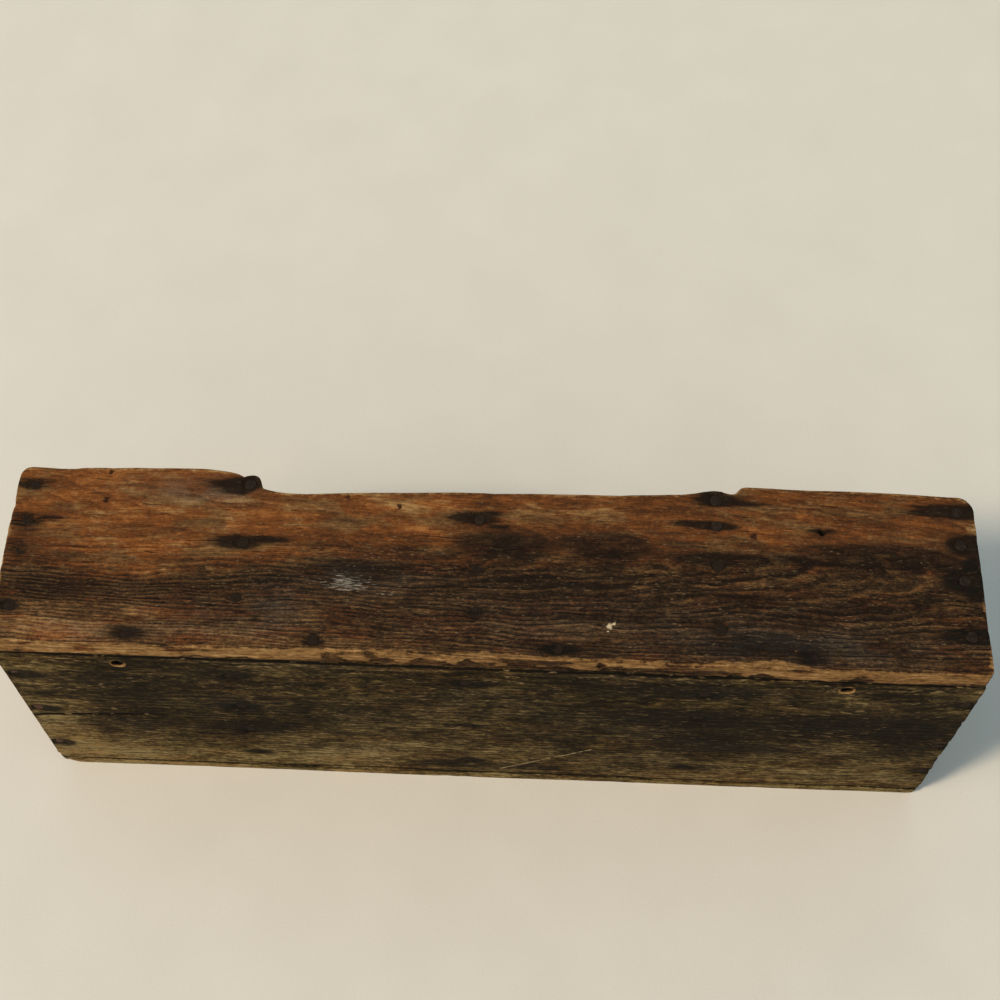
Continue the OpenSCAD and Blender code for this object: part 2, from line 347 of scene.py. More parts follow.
def weathering(points, way, grain, seed, torn_low=0.5, torn_high=0.5):
    """Depth of wear: slow waves and narrow grooves along the grain, dents as a high power of noise, and
    torn fibres on the sawn ends. The low and the high end can be torn by different amounts."""
    waves = WAVE_DEPTH * clouds(points, along_grain(grain, *WAVE_CELL), seed)
    grooves = GROOVE_DEPTH * clouds(points, along_grain(grain, *GROOVE_CELL), seed + 1) ** 2
    dents = DENT_DEPTH * clouds(points, along_grain(grain, *DENT_CELL), seed + 2) ** 7
    torn = clouds(points, along_grain(grain, *FIBRE_CELL), seed + 3) + clouds(points, LUMP_CELL, seed + 4)
    ends = np.where(way[:, grain] < 0, torn_low, torn_high) * sawn_end(way, grain)
    return waves + grooves + dents + TORN_DEPTH * torn * ends


def nail_pits(points, face):
    """Crushed wood about the nails of a face: full depth near a nail, easing to nothing at its reach."""
    axes = in_face(face)
    offset = points[:, None, axes] - face_nails[face][:, axes]
    far = np.hypot(offset[..., 0], offset[..., 1]).min(1)
    return PIT_DEPTH * ease((PIT_REACH - far) / PIT_SLOPE)


def open_crack(distance, half):
    """Share of a crack's depth: whole near its middle line, 0.3 at its edge, and nothing further out."""
    return np.clip(2 - 1.7 * np.abs(distance) / half, 0, 1)


print("share of a crack's depth at its middle and its edges:", open_crack(np.array([0, 1.0]), 1.0))

# %% [markdown]
# ## Stains and patches
#
# Iron blackens the wood about each nail, in a stain that creeps along the grain, and hands, damp and
# rubbing leave soft lighter and darker patches. Painting them into a picture would tie them to one face
# and one size. Here each is a row of a short table, and the strengths go into the mesh as one number per
# point that the finishes read later.

# %% Stains and ovals
# Power of a stain's fall along the grain
STAIN_FALL = 1.7


def stains(u, v, table):
    """Black iron stains, the strongest of all rows: each gives a centre, its lengths to the left and to
    the right along the grain, its half width and its strength, for a bell across the grain times a slower
    fall along it."""
    cu, cv, left, right, width, strength = np.array(table, float).T
    du = u[:, None] - cu
    dv = v[:, None] - cv
    length = np.where(du < 0, left, right)
    return (strength * np.exp(-((np.abs(du) / length) ** STAIN_FALL) - (dv / width) ** 2)).max(1)


def seeded_stains(heads, seed, short, long, strength, wide=1.0):
    """A table of stains for nails, with seeded lengths from short to long and half widths near 3.5."""
    random = np.random.default_rng(seed)
    lengths = short + (long - short) * random.random((len(heads), 2)) ** 1.5
    widths = wide * (2.8 + 1.6 * random.random(len(heads)))
    return np.column_stack([heads, lengths, widths, np.broadcast_to(strength, len(heads))])


def ovals(u, v, table):
    """Sum of soft ovals: each row gives centre u, v, half sizes and strength of a bell curve."""
    cu, cv, half_u, half_v, strength = np.array(table, float).T
    return (strength * bell(u[:, None] - cu, half_u) * bell(v[:, None] - cv, half_v)).sum(1)


oval_test = ovals(np.ones(1), np.zeros(1), [(0, 0, 1, 1, 1)])
print("an oval of strength 1, one half size off its middle:", oval_test.round(2))

# %% [markdown]
# ## From arrays to a piece
#
# A mesh can be filled vertex by vertex, which is slow for a hundred thousand points. `foreach_set` copies
# whole arrays at once. The same function writes the colour facts as attributes, hangs the piece on the
# root body and hides the solid that it stands for.

# %% Write a piece
def make_piece(name, points, polygons, fields, node):
    """Puts points, a list of polygon arrays (quads, triangles) and one number per point and field into a
    mesh, with its place in the mesh, and hands the piece to the frame in place of a node."""
    corners = np.concatenate([p.ravel() for p in polygons])
    sizes = np.concatenate([np.full(len(p), p.shape[1]) for p in polygons])
    mesh = bpy.data.meshes.new(name)
    mesh.vertices.add(len(points))
    mesh.vertices.foreach_set("co", (points * MM).astype(np.float32).ravel())
    mesh.loops.add(len(corners))
    mesh.loops.foreach_set("vertex_index", corners.astype(np.int32))
    mesh.polygons.add(len(sizes))
    mesh.polygons.foreach_set("loop_start", (np.cumsum(sizes) - sizes).astype(np.int32))
    mesh.polygons.foreach_set("use_smooth", np.ones(len(sizes), bool))
    mesh.update(calc_edges=True)
    for field, values in fields.items():
        layer = mesh.attributes.new(field, "FLOAT", "POINT")
        layer.data.foreach_set("value", np.clip(values, 0, 1).astype(np.float32))
    piece = bpy.data.objects.new(name, mesh)
    scene.collection.objects.link(piece)
    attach(piece, "root")
    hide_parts(node)
    triangles = int((sizes - 2).sum())
    print(f"{name}: {len(points)} points, {triangles} triangles")
    return piece


def make_board(node, points, quads, way, grain, fields):
    """A board as a piece. All boards have sawn ends, and where no field says otherwise they have lines of
    the grain and no painted shade in hollows."""
    shared = {"line": np.ones(len(points)), "pit": np.zeros(len(points)), "end": sawn_end(way, grain)}
    return make_piece("worn_" + node, points, [quads], {**shared, **fields}, node)


board_count = len(frame["nodes"]) - len(nail_rows)
print("pieces to write:", board_count, "boards and", len(nail_rows), "rows of nails")

# %% [markdown]
# ## The split rim of the top board
#
# The front rim of the top board has split away along the grain between the outer two dividers, and the
# nails of those dividers stopped the split. Its outline follows that of the packed solid: a low shoulder,
# a cleft, a round knob held by a nail, a slanting floor, a knuckle held by a nail and a last step. The
# lattice is warped towards this line, so the split has the same fine points as the rest and no cut edges.

# %% Outline of the split
# Places along the rim and how deep the wood is split away there
SPLIT_LINE = np.array([
    (-168, 0), (-160, 0.3), (-154, 1.0), (-149, 2.1), (-146.2, 3.2), (-145, 4.4), (-143.8, 3.0),
    (-141, 2.5), (-138.5, 2.9), (-136.6, 4.0), (-135.2, 5.8), (-134.4, 8.2), (-133.8, 11.0), (-131, 12.0),
    (-126, 13.1), (-120, 13.8), (-108, 13.9), (-86, 12.7), (-69, 11.7), (-43, 10.6), (-20, 9.7), (3, 9.3),
    (37, 8.6), (60, 8.0), (95, 6.6), (108, 5.8), (115, 4.9), (120, 3.7), (126, 3.0), (130, 3.2),
    (133, 4.4), (136, 4.9), (138.6, 4.5), (140.4, 2.2), (142, 0.6), (144, 0),
])
SPLIT_BLUR = 0.5


def split_depth(x):
    """Depth of the split at x: the line through the table, as the mean of three places a blur apart,
    which rounds its corners."""
    return sum(np.interp(x + turn * SPLIT_BLUR, *SPLIT_LINE.T) for turn in (-1, 0, 1)) / 3


print("split from", SPLIT_LINE[0, 0], "to", SPLIT_LINE[-1, 0], "deepest", SPLIT_LINE[:, 1].max())

# %% [markdown]
# ## The top board
#
# This is the board that shows most. Its lattice is crowded at the edges, at the columns of nails, at the
# steps of the split and along a short drying crack at the left end. An even lattice with as many fine
# cells would have millions of points.

# %% Lattice of the top board
top_low, top_high = board_box("top_board")
# Usual gaps between places along X, Y and Z
TOP_STEPS = (2.2, 1.75, 1.7)
TOP_CRACK_Y, TOP_CRACK_END, TOP_CRACK_HALF = 19.2, -244, 0.45
# Marks at the cleft, at both steps of the split and at an old nail hole
TOP_MARKS = [(-145, 0.5, 3), (-134, 0.55, 5), (140, 0.6, 4), (187, 0.8, 3)]
top_x = board_ticks(X_AXIS, top_low, top_high, TOP_STEPS[0], nail_marks("top", 1.1) + TOP_MARKS)
top_y = board_ticks(Y_AXIS, top_low, top_high, TOP_STEPS[1])
top_y = with_lines(top_y, TOP_CRACK_Y + TOP_CRACK_HALF * np.array([-1, 0, 1]), 0.5)
top_z = board_ticks(Z_AXIS, top_low, top_high, TOP_STEPS[2])
flat, quads, _ = box_skin(top_x, top_y, top_z)
print("top board lattice:", len(top_x), "by", len(top_y), "by", len(top_z))

# %% [markdown]
# Next the box gets its outline. The upper back edge is worn most in its middle, the far corners are
# rounder than the near ones, and the far part of the lattice is drawn in by the split and by a slight
# taper at both ends.

# %% Outline of the top board
# Radius of each corner of the outline, by its side along X and along Y
TOP_CORNERS = {(-1, -1): 4, (1, -1): 4, (1, 1): 10, (-1, 1): 7}
EDGE_RADIUS = 0.9
# Extra wear of the upper back edge: middle and half length of the stretch, its least height and its share
BROKEN_MIDDLE, BROKEN_HALF, BROKEN_HEIGHT, BROKEN_WEAR = 20, 130, 180, 1.6
# Tapers of the far rim: depth, where it starts along the board, and the way in which it becomes whole
RIM_TAPERS = [(2.6, -165, -110), (1.5, 215, 55)]
# The lattice is drawn in from this place across the board on, and wholly this much further out
DRAWN_FROM, DRAWN_OVER = 8, 40
broken = ease(1 - np.abs(flat[:, 0] - BROKEN_MIDDLE) / BROKEN_HALF)
broken = broken * (flat[:, 1] < 0) * (flat[:, 2] > BROKEN_HEIGHT)
radius = worn_radius(flat, X_AXIS, EDGE_RADIUS, seed=11, wear=1 + BROKEN_WEAR * broken)
points, way = round_edges(flat, top_low, top_high, radius)
points = round_corners(points, top_low, top_high, (X_AXIS, Y_AXIS), TOP_CORNERS)
drawn_in = split_depth(points[:, 0])
for taper, start, over in RIM_TAPERS:
    drawn_in = drawn_in + taper * ease((points[:, 0] - start) / over)
points[:, 1] -= drawn_in * ease((points[:, 1] - DRAWN_FROM) / DRAWN_OVER)
print("far rim drawn in by up to", round(drawn_in.max(), 2))

# %% [markdown]
# Last comes the wear. The drying crack is a narrow V that runs out along the grain, an old hole without
# its nail is a deeper, smaller pit, and the wall of the split is torn. The foot of the back edge is worn
# away unevenly and has bites that lean over, because wood breaks out in chips along its fibres.

# %% Bites at the foot of the top board
# How far the foot of the back edge is worn away, at places along the board
FOOT_WEAR = np.array([
    (-275, 0.3), (-230, 0.6), (-165, 1.8), (-80, 3.2), (20, 4.4), (90, 4.2), (150, 1.8), (190, 0.6),
    (275, 1.0),
])
# Bites out of that foot: place, half width and height
FOOT_BITES = np.array([
    (-160, 8, 4), (-134, 8, 2), (-79.6, 6.5, 6), (-53.7, 6.5, 9), (-26.5, 11, 5.5), (-4, 6.5, 8),
    (22.8, 7.5, 6), (46, 5, 1.5), (70, 4.5, 7), (78.5, 5.5, 5), (138, 6, 5), (152, 5, 4), (205, 4, 2),
])
BITE_LEAN, BITE_JITTER, BITE_SLOPE = 0.7, 7, 2.6
above_foot = points[:, 2] - top_low[2]
leaning = points[:, 0] + BITE_LEAN * above_foot + BITE_JITTER * (clouds(points, (9, 9, 4), seed=13) - 0.5)
off_middle = np.abs(leaning[:, None] - FOOT_BITES[:, 0]) / FOOT_BITES[:, 1]
bites = (FOOT_BITES[:, 2] * np.clip(1.2 - off_middle ** 2, 0, 1)).max(1)
worn_foot = np.interp(points[:, 0], *FOOT_WEAR.T) * (0.5 + length_clouds(points, 19, seed=18))
worn_foot = worn_foot + bites * (0.4 + 1.2 * length_clouds(points, 3.4, seed=19))
notches = np.clip(-2 * way[:, 1], 0, 1) * ease(0.5 + (worn_foot - above_foot) / BITE_SLOPE)
print("points in the bites:", int((notches > 0.5).sum()))

# %% Wear of the top board
OLD_HOLE, OLD_HOLE_DEPTH, OLD_HOLE_REACH, OLD_HOLE_SLOPE = np.array([187.1, 29.3]), 3.2, 2.7, 1.4
TOP_CRACK_DEPTH, TOP_CRACK_OPENING, BITE_DEPTH = 6, 34, 1.4
on_top = facing(way, Z_AXIS, 1)
in_split = ease((split_depth(points[:, 0]) - 3) / 4) * facing(way, Y_AXIS, 1)
pits = nail_pits(points, "top") * on_top
from_hole = np.hypot(*(points[:, :2] - OLD_HOLE).T)
old_hole = OLD_HOLE_DEPTH * ease((OLD_HOLE_REACH - from_hole) / OLD_HOLE_SLOPE) * on_top
crack = np.clip(1 - np.abs(flat[:, 1] - TOP_CRACK_Y) / TOP_CRACK_HALF, 0, 1)
crack = crack * ease((TOP_CRACK_END - points[:, 0]) / TOP_CRACK_OPENING)
torn_rim = 0.6 * clouds(points, (26, 6, 3), seed=15) + 0.4 * clouds(points, (7, 4, 1.5), seed=16)
torn_rim = torn_rim * in_split
depth = weathering(points, way, X_AXIS, seed=12, torn_low=0.3, torn_high=0.5) + pits + old_hole
depth = depth + TOP_CRACK_DEPTH * crack + torn_rim + BITE_DEPTH * notches
top_points = points - way * depth[:, None]
print("deepest wear of the top board:", round(depth.max(), 2))

# %% [markdown]
# ## Light and dark on the top board
#
# The top is orange brown towards the split rim, dark in the middle and pale at the near left corner. The
# tone is one number: a curve across the board, soft ovals where hands, damp and wear made it lighter or
# darker, and painted light that leaves the left part lighter and the right part darker. Grey marks old
# dirt that has no orange left, with one patch that is a painted sheen, and bare marks the rubbed ochre
# wood of the near edge. The grain itself comes later, in the finish.

# %% Patches of the top board
TOP_LIGHT = [
    (-115, 28, 32, 9, 0.1), (-40, 37, 16, 5, 0.34), (-175, 4, 76, 7, 0.3), (-198, -9, 28, 6, 0.34),
    (38, 10, 8, 4, 0.24), (-240, -49, 40, 10, 0.34), (-42, 22, 10, 5, 0.2), (160, 26, 18, 7, 0.14),
    (-189, -37, 18, 2.4, 0.34), (258, -28, 17, 17, 0.14), (-150, -50, 70, 8, 0.1), (60, 34, 60, 6, 0.1),
    (60, -40, 22, 8, 0.12), (-200, 40, 60, 14, -0.04), (118, 20, 9, 5, 0.1), (190, -7, 60, 7, 0.08),
    (-110, -35, 40, 12, 0.06),
]
TOP_DIRT = [
    (-252, -22, 32, 15, 0.42), (-165, -20, 44, 6, 0.5), (-76, -4, 34, 6, 0.75), (6, 14, 30, 11, 1.1),
    (66, 15, 24, 8, 1.5), (126, 9, 24, 5, 1.1), (218, 15, 50, 8, 1.2), (150, -44, 46, 10, 0.8),
    (100, 55, 60, 3, 0.4), (-264, 14, 12, 10, 0.7), (20, -10, 60, 7, 0.5), (205, -19, 46, 8, 0.5),
    (212, 9, 60, 3, 0.7), (-120, -14, 30, 6, 0.5), (-240, 42, 40, 2, 0.5), (-228, -25, 48, 11, 0.34),
    (-150, -30, 40, 6, 0.34),
]
# Grey weathering; the patch at (-118, -31) is a grey painted sheen
TOP_GREY_AND_SHEEN = [
    (-166, 42, 34, 8, 0.75), (-118, -31, 14, 12, 0.7), (-72, -12, 30, 9, 0.75), (175, -44, 50, 10, 0.6),
    (-235, -50, 50, 9, 0.35), (-160, -42, 50, 12, 0.4), (60, -34, 110, 20, 0.35), (190, -42, 80, 12, 0.25),
]
TOP_SCUFFS = [
    (-80, -16, 14, 5.5, 0.9), (-72, -8, 32, 7, 0.42), (-55, -20, 9, 2.6, 0.8), (-104, -24, 4, 2, 0.6),
    (-98, -13, 16, 4, 0.25),
]
# Where the lines of the grain run in waves
TOP_WAVES = [(165, -6, 95, 30, 1.0), (-60, 26, 70, 16, 0.6), (-200, 20, 50, 20, 0.6)]
# Rubbed wood between the stains at the ends
TOP_BARE = [
    (272, 34, 6, 4, 0.75), (273.5, 9, 3, 2.5, 0.6), (273.5, -14, 3, 6, 0.55), (273, -48, 4, 5, 0.5),
    (-272, 32, 5, 4, 0.4), (-273, 11, 3, 3, 0.5), (-273, -18, 3, 7, 0.4),
]
print("patches of the top board:", len(TOP_LIGHT + TOP_DIRT + TOP_GREY_AND_SHEEN + TOP_SCUFFS + TOP_WAVES + TOP_BARE))

# %% Iron stains of the top board
# Stains: place, lengths to the left and the right, half width and strength
TOP_STAINS = [
    (-266, 42.5, 16, 24, 5.2, 0.86), (-266, 20, 16, 17, 6.6, 0.7), (-254, 20.8, 9, 19, 1.7, 0.95),
    (-266, 2, 16, 18, 7.0, 0.64), (-266, -35, 16, 11, 6.0, 0.84),
    (-140.8, 47.3, 32, 10, 6.2, 1.1), (-139, 50, 9, 9, 7.0, 1.3), (-146, 42, 22, 10, 3.0, 0.8),
    (126, 52, 14, 9, 5.5, 1.1), (-140.8, 9.5, 22, 12, 5.2, 1.2),
    (-131, 11.4, 10, 21, 2.9, 1.1), (-148, 6.6, 15, 9, 2.2, 0.9), (-140.8, -24.9, 7, 7, 4.6, 0.55),
    (-7.8, 29.7, 22, 13, 5.2, 1.15), (-1, 33.5, 14, 13, 2.6, 0.85), (4, 24.5, 20, 10, 2.4, 0.8),
    (-7.8, -1.4, 7, 7, 4.4, 0.6), (-7.8, -29.1, 9, 9, 5, 0.75),
    (127.2, 47.3, 16, 20, 5.0, 1.2), (141, 45.4, 12, 22, 2.4, 0.95), (127.2, 30.5, 26, 13, 3.4, 1.15),
    (112, 31.8, 17, 11, 2.0, 0.9), (127.2, 5.3, 9, 9, 4.6, 0.7), (127.2, -34.2, 10, 9, 5.2, 0.7),
    (266, 45, 28, 30, 5.2, 1.45), (252, 43, 22, 16, 2.2, 1.1), (268, 23.5, 13, 30, 7.4, 1.4),
    (272, 11, 10, 30, 9.0, 1.1), (266, 0.4, 15, 30, 7.6, 1.4), (271, -9, 10, 30, 4.0, 0.9),
    (266, -33.3, 20, 30, 5.2, 1.4), (250, -35.6, 12, 12, 1.8, 0.8),
    (-197.8, -49.5, 17, 17, 6.4, 0.95), (-95.5, -50, 8, 8, 5.4, 0.85), (38.1, -50, 17, 19, 4.6, 1.0),
    (60, -53, 8, 20, 2.0, 0.7), (175.6, -49, 13, 13, 5.4, 0.85), (187.1, 29.3, 12, 10, 2.2, 1.0),
]
print("stains of the top board:", len(TOP_STAINS))

# %% [markdown]
# The rubbed ochre of the back edge reaches a little way onto the top, further in some places than in
# others, and it stops at the painted shadow line of the joint below. Every line here works on all points at
# once.

# %% Fields of the top board
# How far the rubbed wood of the back edge reaches onto the top, at places along the board
EDGE_WRAP = np.array([
    (-275, 0.8), (-200, 1.0), (-120, 1.6), (-60, 3.0), (0, 3.2), (80, 2.6), (112, 1.0), (128, 3.4),
    (160, 4.0), (182, 1.2), (275, 0.9),
])
# Tone, and strength of the lines of the grain, at places across the board
TOP_TONE = np.array([
    (-57, 0.41), (-40, 0.36), (-20, 0.3), (-6, 0.28), (6, 0.4), (14, 0.56), (26, 0.64), (57, 0.67),
])
TOP_LINES = np.array([(-57, 1), (-6, 1), (12, 0.42), (57, 0.34)])
# Darker stretch of the rubbed edge: its middle and half length
EDGE_SHADE, EDGE_SHADE_HALF = 112, 17
x, y, z = top_points.T
tone = np.interp(y, *TOP_TONE.T) + ovals(x, y, TOP_LIGHT)
# Painted light: the left part is a little lighter and the right part a little darker, as the light falls
# from the left
tone = tone + 0.12 * ease((-60 - x) / 160) - 0.06 * ease((x + 60) / 100)
edge_dirt = 1.5 * clouds(top_points, (17, 7, 5), seed=17) ** 2 + 0.5 * bell(x - EDGE_SHADE, EDGE_SHADE_HALF)
back_edge = facing(way, Y_AXIS, -1) ** 2 * (1.2 - edge_dirt)
wrap = np.interp(x, *EDGE_WRAP.T) * (0.5 + length_clouds(top_points, 14, seed=14))
wrapped = 0.85 * ease(0.5 + (wrap - (flat[:, 1] - top_low[1])) / 5) * on_top
# Painted shadow along the foot of the back edge, where the joint with the back board lies in shade
joint_shadow = 1.4 * (way[:, 1] < -0.15) * ease((top_low[2] + 1.2 - z) / 0.9)
rubbed_edges = 0.65 * bell(edge_gap(flat, top_low, top_high), 1.7) + ovals(x, y, TOP_BARE) * on_top
far_rim = 0.7 * bell(top_high[1] - flat[:, 1], 3.5) * on_top
rubbed = np.max([rubbed_edges, wrapped, back_edge, far_rim], axis=0)
make_board("top_board", top_points, quads, way, X_AXIS, {
    "tone": tone - 0.12 * sawn_end(way, X_AXIS),
    "dirt": ovals(x, y, TOP_DIRT) * on_top + 0.35 * notches,
    "bare": rubbed - 0.25 * in_split - 0.95 * notches,
    "stain": stains(x, y, TOP_STAINS) * np.maximum(on_top, 0.8 * in_split),
    # Painted shade in the nail pits, the old hole, the crack, the torn wall of the split and the bites, and
    # a painted shadow in the joint
    "pit": pits / 5 + old_hole / 5 + 1.6 * crack + 0.25 * ease(torn_rim / 2) + joint_shadow + 0.22 * notches,
    "inside": belongs_to(way, Z_AXIS, -1),
    "grey": ovals(x, y, TOP_GREY_AND_SHEEN) * on_top,
    "scuff": ovals(x, y, TOP_SCUFFS) * on_top,
    "line": np.interp(y + 10 * np.clip(-x / 200, -1, 1), *TOP_LINES.T),
    "wave": ovals(x, y, TOP_WAVES) * on_top,
})

# %% [markdown]
# ## The lower board
#
# The lower board mirrors the top one but kept its whole rim. Its outer face is the underside, scuffed by
# being dragged about, and its lower back corners are knocked off. A fine crack wanders along its back
# edge: five lines of the lattice are bent by a path and slow noise, and the wood between them is sunk.

# %% Outline of the lower board
lower_low, lower_high = board_box("lower_board")
LOWER_STEPS = (2.7, 1.8, 1.7)
LOWER_CORNERS = {(-1, -1): 1.5, (1, -1): 2, (1, 1): 5, (-1, 1): 5}
# Lower corners: their radius at the front, and what is added at the back on the left and on the right
FOOT_CORNER, KNOCKED_OFF, CHIPPED_OFF = 1.5, 12.5, 5
# Lines of the lattice at a crack, in half widths
CRACK_LINES = np.array([-1, -0.5, 0, 0.5, 1])
LOWER_CRACK_Z, LOWER_CRACK_HALF = 8.6, 1.0
lower_x = board_ticks(X_AXIS, lower_low, lower_high, LOWER_STEPS[0], nail_marks("lower", 1.1))
lower_y = board_ticks(Y_AXIS, lower_low, lower_high, LOWER_STEPS[1])
lower_z = board_ticks(Z_AXIS, lower_low, lower_high, LOWER_STEPS[2])
lower_z = with_lines(lower_z, LOWER_CRACK_Z + LOWER_CRACK_HALF * CRACK_LINES, 0.4)
flat, quads, _ = box_skin(lower_x, lower_y, lower_z)
# Edges at the back stay sharp, at the joint above and at the foot
tight = (ease((flat[:, 2] - 7) / 6) + 0.8 * ease((5 - flat[:, 2]) / 2)) * (flat[:, 1] < -30)
radius = worn_radius(flat, X_AXIS, EDGE_RADIUS, seed=21) * (1 - 0.75 * tight)
points, way = round_edges(flat, lower_low, lower_high, radius)
points = round_corners(points, lower_low, lower_high, (X_AXIS, Y_AXIS), LOWER_CORNERS)
at_back = ease((-38 - points[:, 1]) / 14)
foot_corners = {(-1, -1): FOOT_CORNER + KNOCKED_OFF * at_back, (1, -1): FOOT_CORNER + CHIPPED_OFF * at_back}
points = round_corners(points, lower_low, lower_high, (X_AXIS, Z_AXIS), foot_corners)
print("lower board lattice:", len(lower_x), "by", len(lower_y), "by", len(lower_z))

# %% Wear of the lower board
# Height of the crack above its middle line at places along the board
LOWER_CRACK_PATH = np.array([
    (-275, -3.5), (-250, -1.2), (-190, -0.8), (-172, -0.4), (-150, 0.2), (-100, 1.2), (-62, 2.6), (-40, 1),
    (0, 0.8), (60, 1.4), (90, 0.2), (150, -0.4), (275, -1),
])
CRACK_DEPTH, LOWER_CRACK_BEND = 2, 4
below = facing(way, Z_AXIS, -1)
behind = facing(way, Y_AXIS, -1)
off_crack = flat[:, 2] - LOWER_CRACK_Z
wander = np.interp(points[:, 0], *LOWER_CRACK_PATH.T) + 2 * (length_clouds(points, 17, seed=27) - 0.5)
points[:, 2] += wander * bell(off_crack, LOWER_CRACK_BEND) * behind
crack = open_crack(off_crack, LOWER_CRACK_HALF) * (behind > 0.3) * ease((points[:, 0] + 268) / 16)
crack = crack * ease(0.35 + 1.3 * length_clouds(points, 30, seed=28))
pits = nail_pits(points, "lower") * below
depth = weathering(points, way, X_AXIS, seed=22, torn_low=0.4, torn_high=0.6) + pits + CRACK_DEPTH * crack
lower_points = points - way * depth[:, None]
print("deepest wear of the lower board:", round(depth.max(), 2))

# %% Fields of the lower board
LOWER_LIGHT = [
    (-190, 20, 70, 20, 0.16), (60, -30, 80, 14, 0.14), (200, 25, 50, 18, 0.12), (-60, 10, 60, 12, -0.16),
    (140, -5, 60, 14, -0.18), (-230, -35, 30, 14, 0.2), (20, 40, 60, 10, 0.1), (240, -40, 30, 12, 0.1),
]
# Light and dark at the foot of the back, shared by the lower board's back edge and the back board
BACK_FOOT = [
    (-210, 10, 75, 26, 0.36), (-93, 28, 64, 24, 0.2), (210, 24, 70, 30, 0.2), (130, 20, 40, 16, 0.12),
    (-268, 20, 16, 50, 0.1),
]
x, y, z = lower_points.T
foot = ovals(x, z, BACK_FOOT) + 0.22 * ease((8 - z) / 4)
light = ovals(x, y, LOWER_LIGHT) * (1 - behind) + foot * behind
lower_stains = seeded_stains(face_nails["lower"][:, :2], 5, short=7, long=22, strength=0.85)
make_board("lower_board", lower_points, quads, way, X_AXIS, {
    "tone": 0.52 + light - 0.12 * sawn_end(way, X_AXIS),
    "dirt": 0.8 * below * clouds(lower_points, (90, 26, 26), seed=24) ** 2,
    "bare": 0.55 * bell(edge_gap(flat, lower_low, lower_high), 1.8) * (1 - 0.7 * behind),
    "stain": stains(x, y, lower_stains) * below,
    # Painted shade in the nail pits and the crack
    "pit": pits / 5 + 1.7 * crack,
    "inside": belongs_to(way, Z_AXIS, 1),
    "grey": 0.4 * below * clouds(lower_points, (70, 18, 18), seed=25) + 0.7 * facing(way, Y_AXIS, 1),
    "scuff": 0.35 * below * clouds(lower_points, (40, 30, 30), seed=26) ** 4,
})

# %% [markdown]
# ## The back board and its hanging holes
#
# Two drilled holes near the upper edge let the box hang on a wall. A boolean would cut the skin into
# slivers. Instead the lattice has a square block of fine cells about each hole: its square rings are
# made round, the cells inside the hole are taken out, and rings of new points join the outer face to
# the inner one as the bore.

# %% Holes through a skin
def round_block(points, centre, radius, block):
    """Turns the square rings of a block about a hole, in X and Z, into round ones. The change is whole up
    to the hole's radius and fades to nothing at the block's edge."""
    u = points[:, 0] - centre[0]
    w = points[:, 2] - centre[1]
    ring = np.maximum(np.abs(u), np.abs(w))
    near = (ring < block) & (ring > 0)
    scale = ring[near] / np.hypot(u, w)[near]
    scale = 1 + (scale - 1) * np.clip((block - ring[near]) / (block - radius), 0, 1)
    points = points.copy()
    points[near, 0] = centre[0] + u[near] * scale
    points[near, 2] = centre[1] + w[near] * scale
    return points


def ring_numbers(sheet, i0, i1, k0, k1):
    """Point numbers round a block of a sheet, anticlockwise from its lower left corner."""
    return np.concatenate([sheet[i0:i1, k0], sheet[i1, k0:k1], sheet[i1:i0:-1, k1], sheet[i0, k1:k0:-1]])


def pierce(points, quads, number, xs, zs, centre, radius, rings):
    """Opens a hole along Y: quads with all corners in the block go, and the bore is a grid of rings, each
    a blend of the outer and the inner ring by its share of the depth. Returns points, quads and bore."""
    i = np.flatnonzero(np.abs(xs - centre[0]) < radius + 0.01)
    k = np.flatnonzero(np.abs(zs - centre[1]) < radius + 0.01)
    i0, i1, k0, k1 = i[0], i[-1], k[0], k[-1]
    block = np.zeros(len(points), bool)
    block[number[i0:i1 + 1, 0, k0:k1 + 1]] = True
    block[number[i0:i1 + 1, -1, k0:k1 + 1]] = True
    quads = quads[~block[quads].all(1)]
    outer = ring_numbers(number[:, 0, :], i0, i1, k0, k1)
    inner = ring_numbers(number[:, -1, :], i0, i1, k0, k1)
    share = (np.arange(1, rings) / rings)[:, None, None]
    bore = (points[outer] * (1 - share) + points[inner] * share).reshape(-1, 3)
    rows = np.vstack([outer, len(points) + np.arange(len(bore)).reshape(rings - 1, -1), inner])
    ahead = np.roll(rows, -1, axis=1)
    wall = np.stack([rows[:-1], ahead[:-1], ahead[1:], rows[1:]], -1).reshape(-1, 4)
    return np.concatenate([points, bore]), np.concatenate([quads, wall]), bore


def drop_loose(quads, *arrays):
    """Takes out points that no quad uses, and renumbers the quads."""
    used = np.unique(quads)
    renumber = np.full(len(arrays[0]), -1)
    renumber[used] = np.arange(len(used))
    return (renumber[quads],) + tuple(array[used] for array in arrays)


print("numbers round a block of 3 by 3 points:", ring_numbers(np.arange(9).reshape(3, 3), 0, 2, 0, 2))

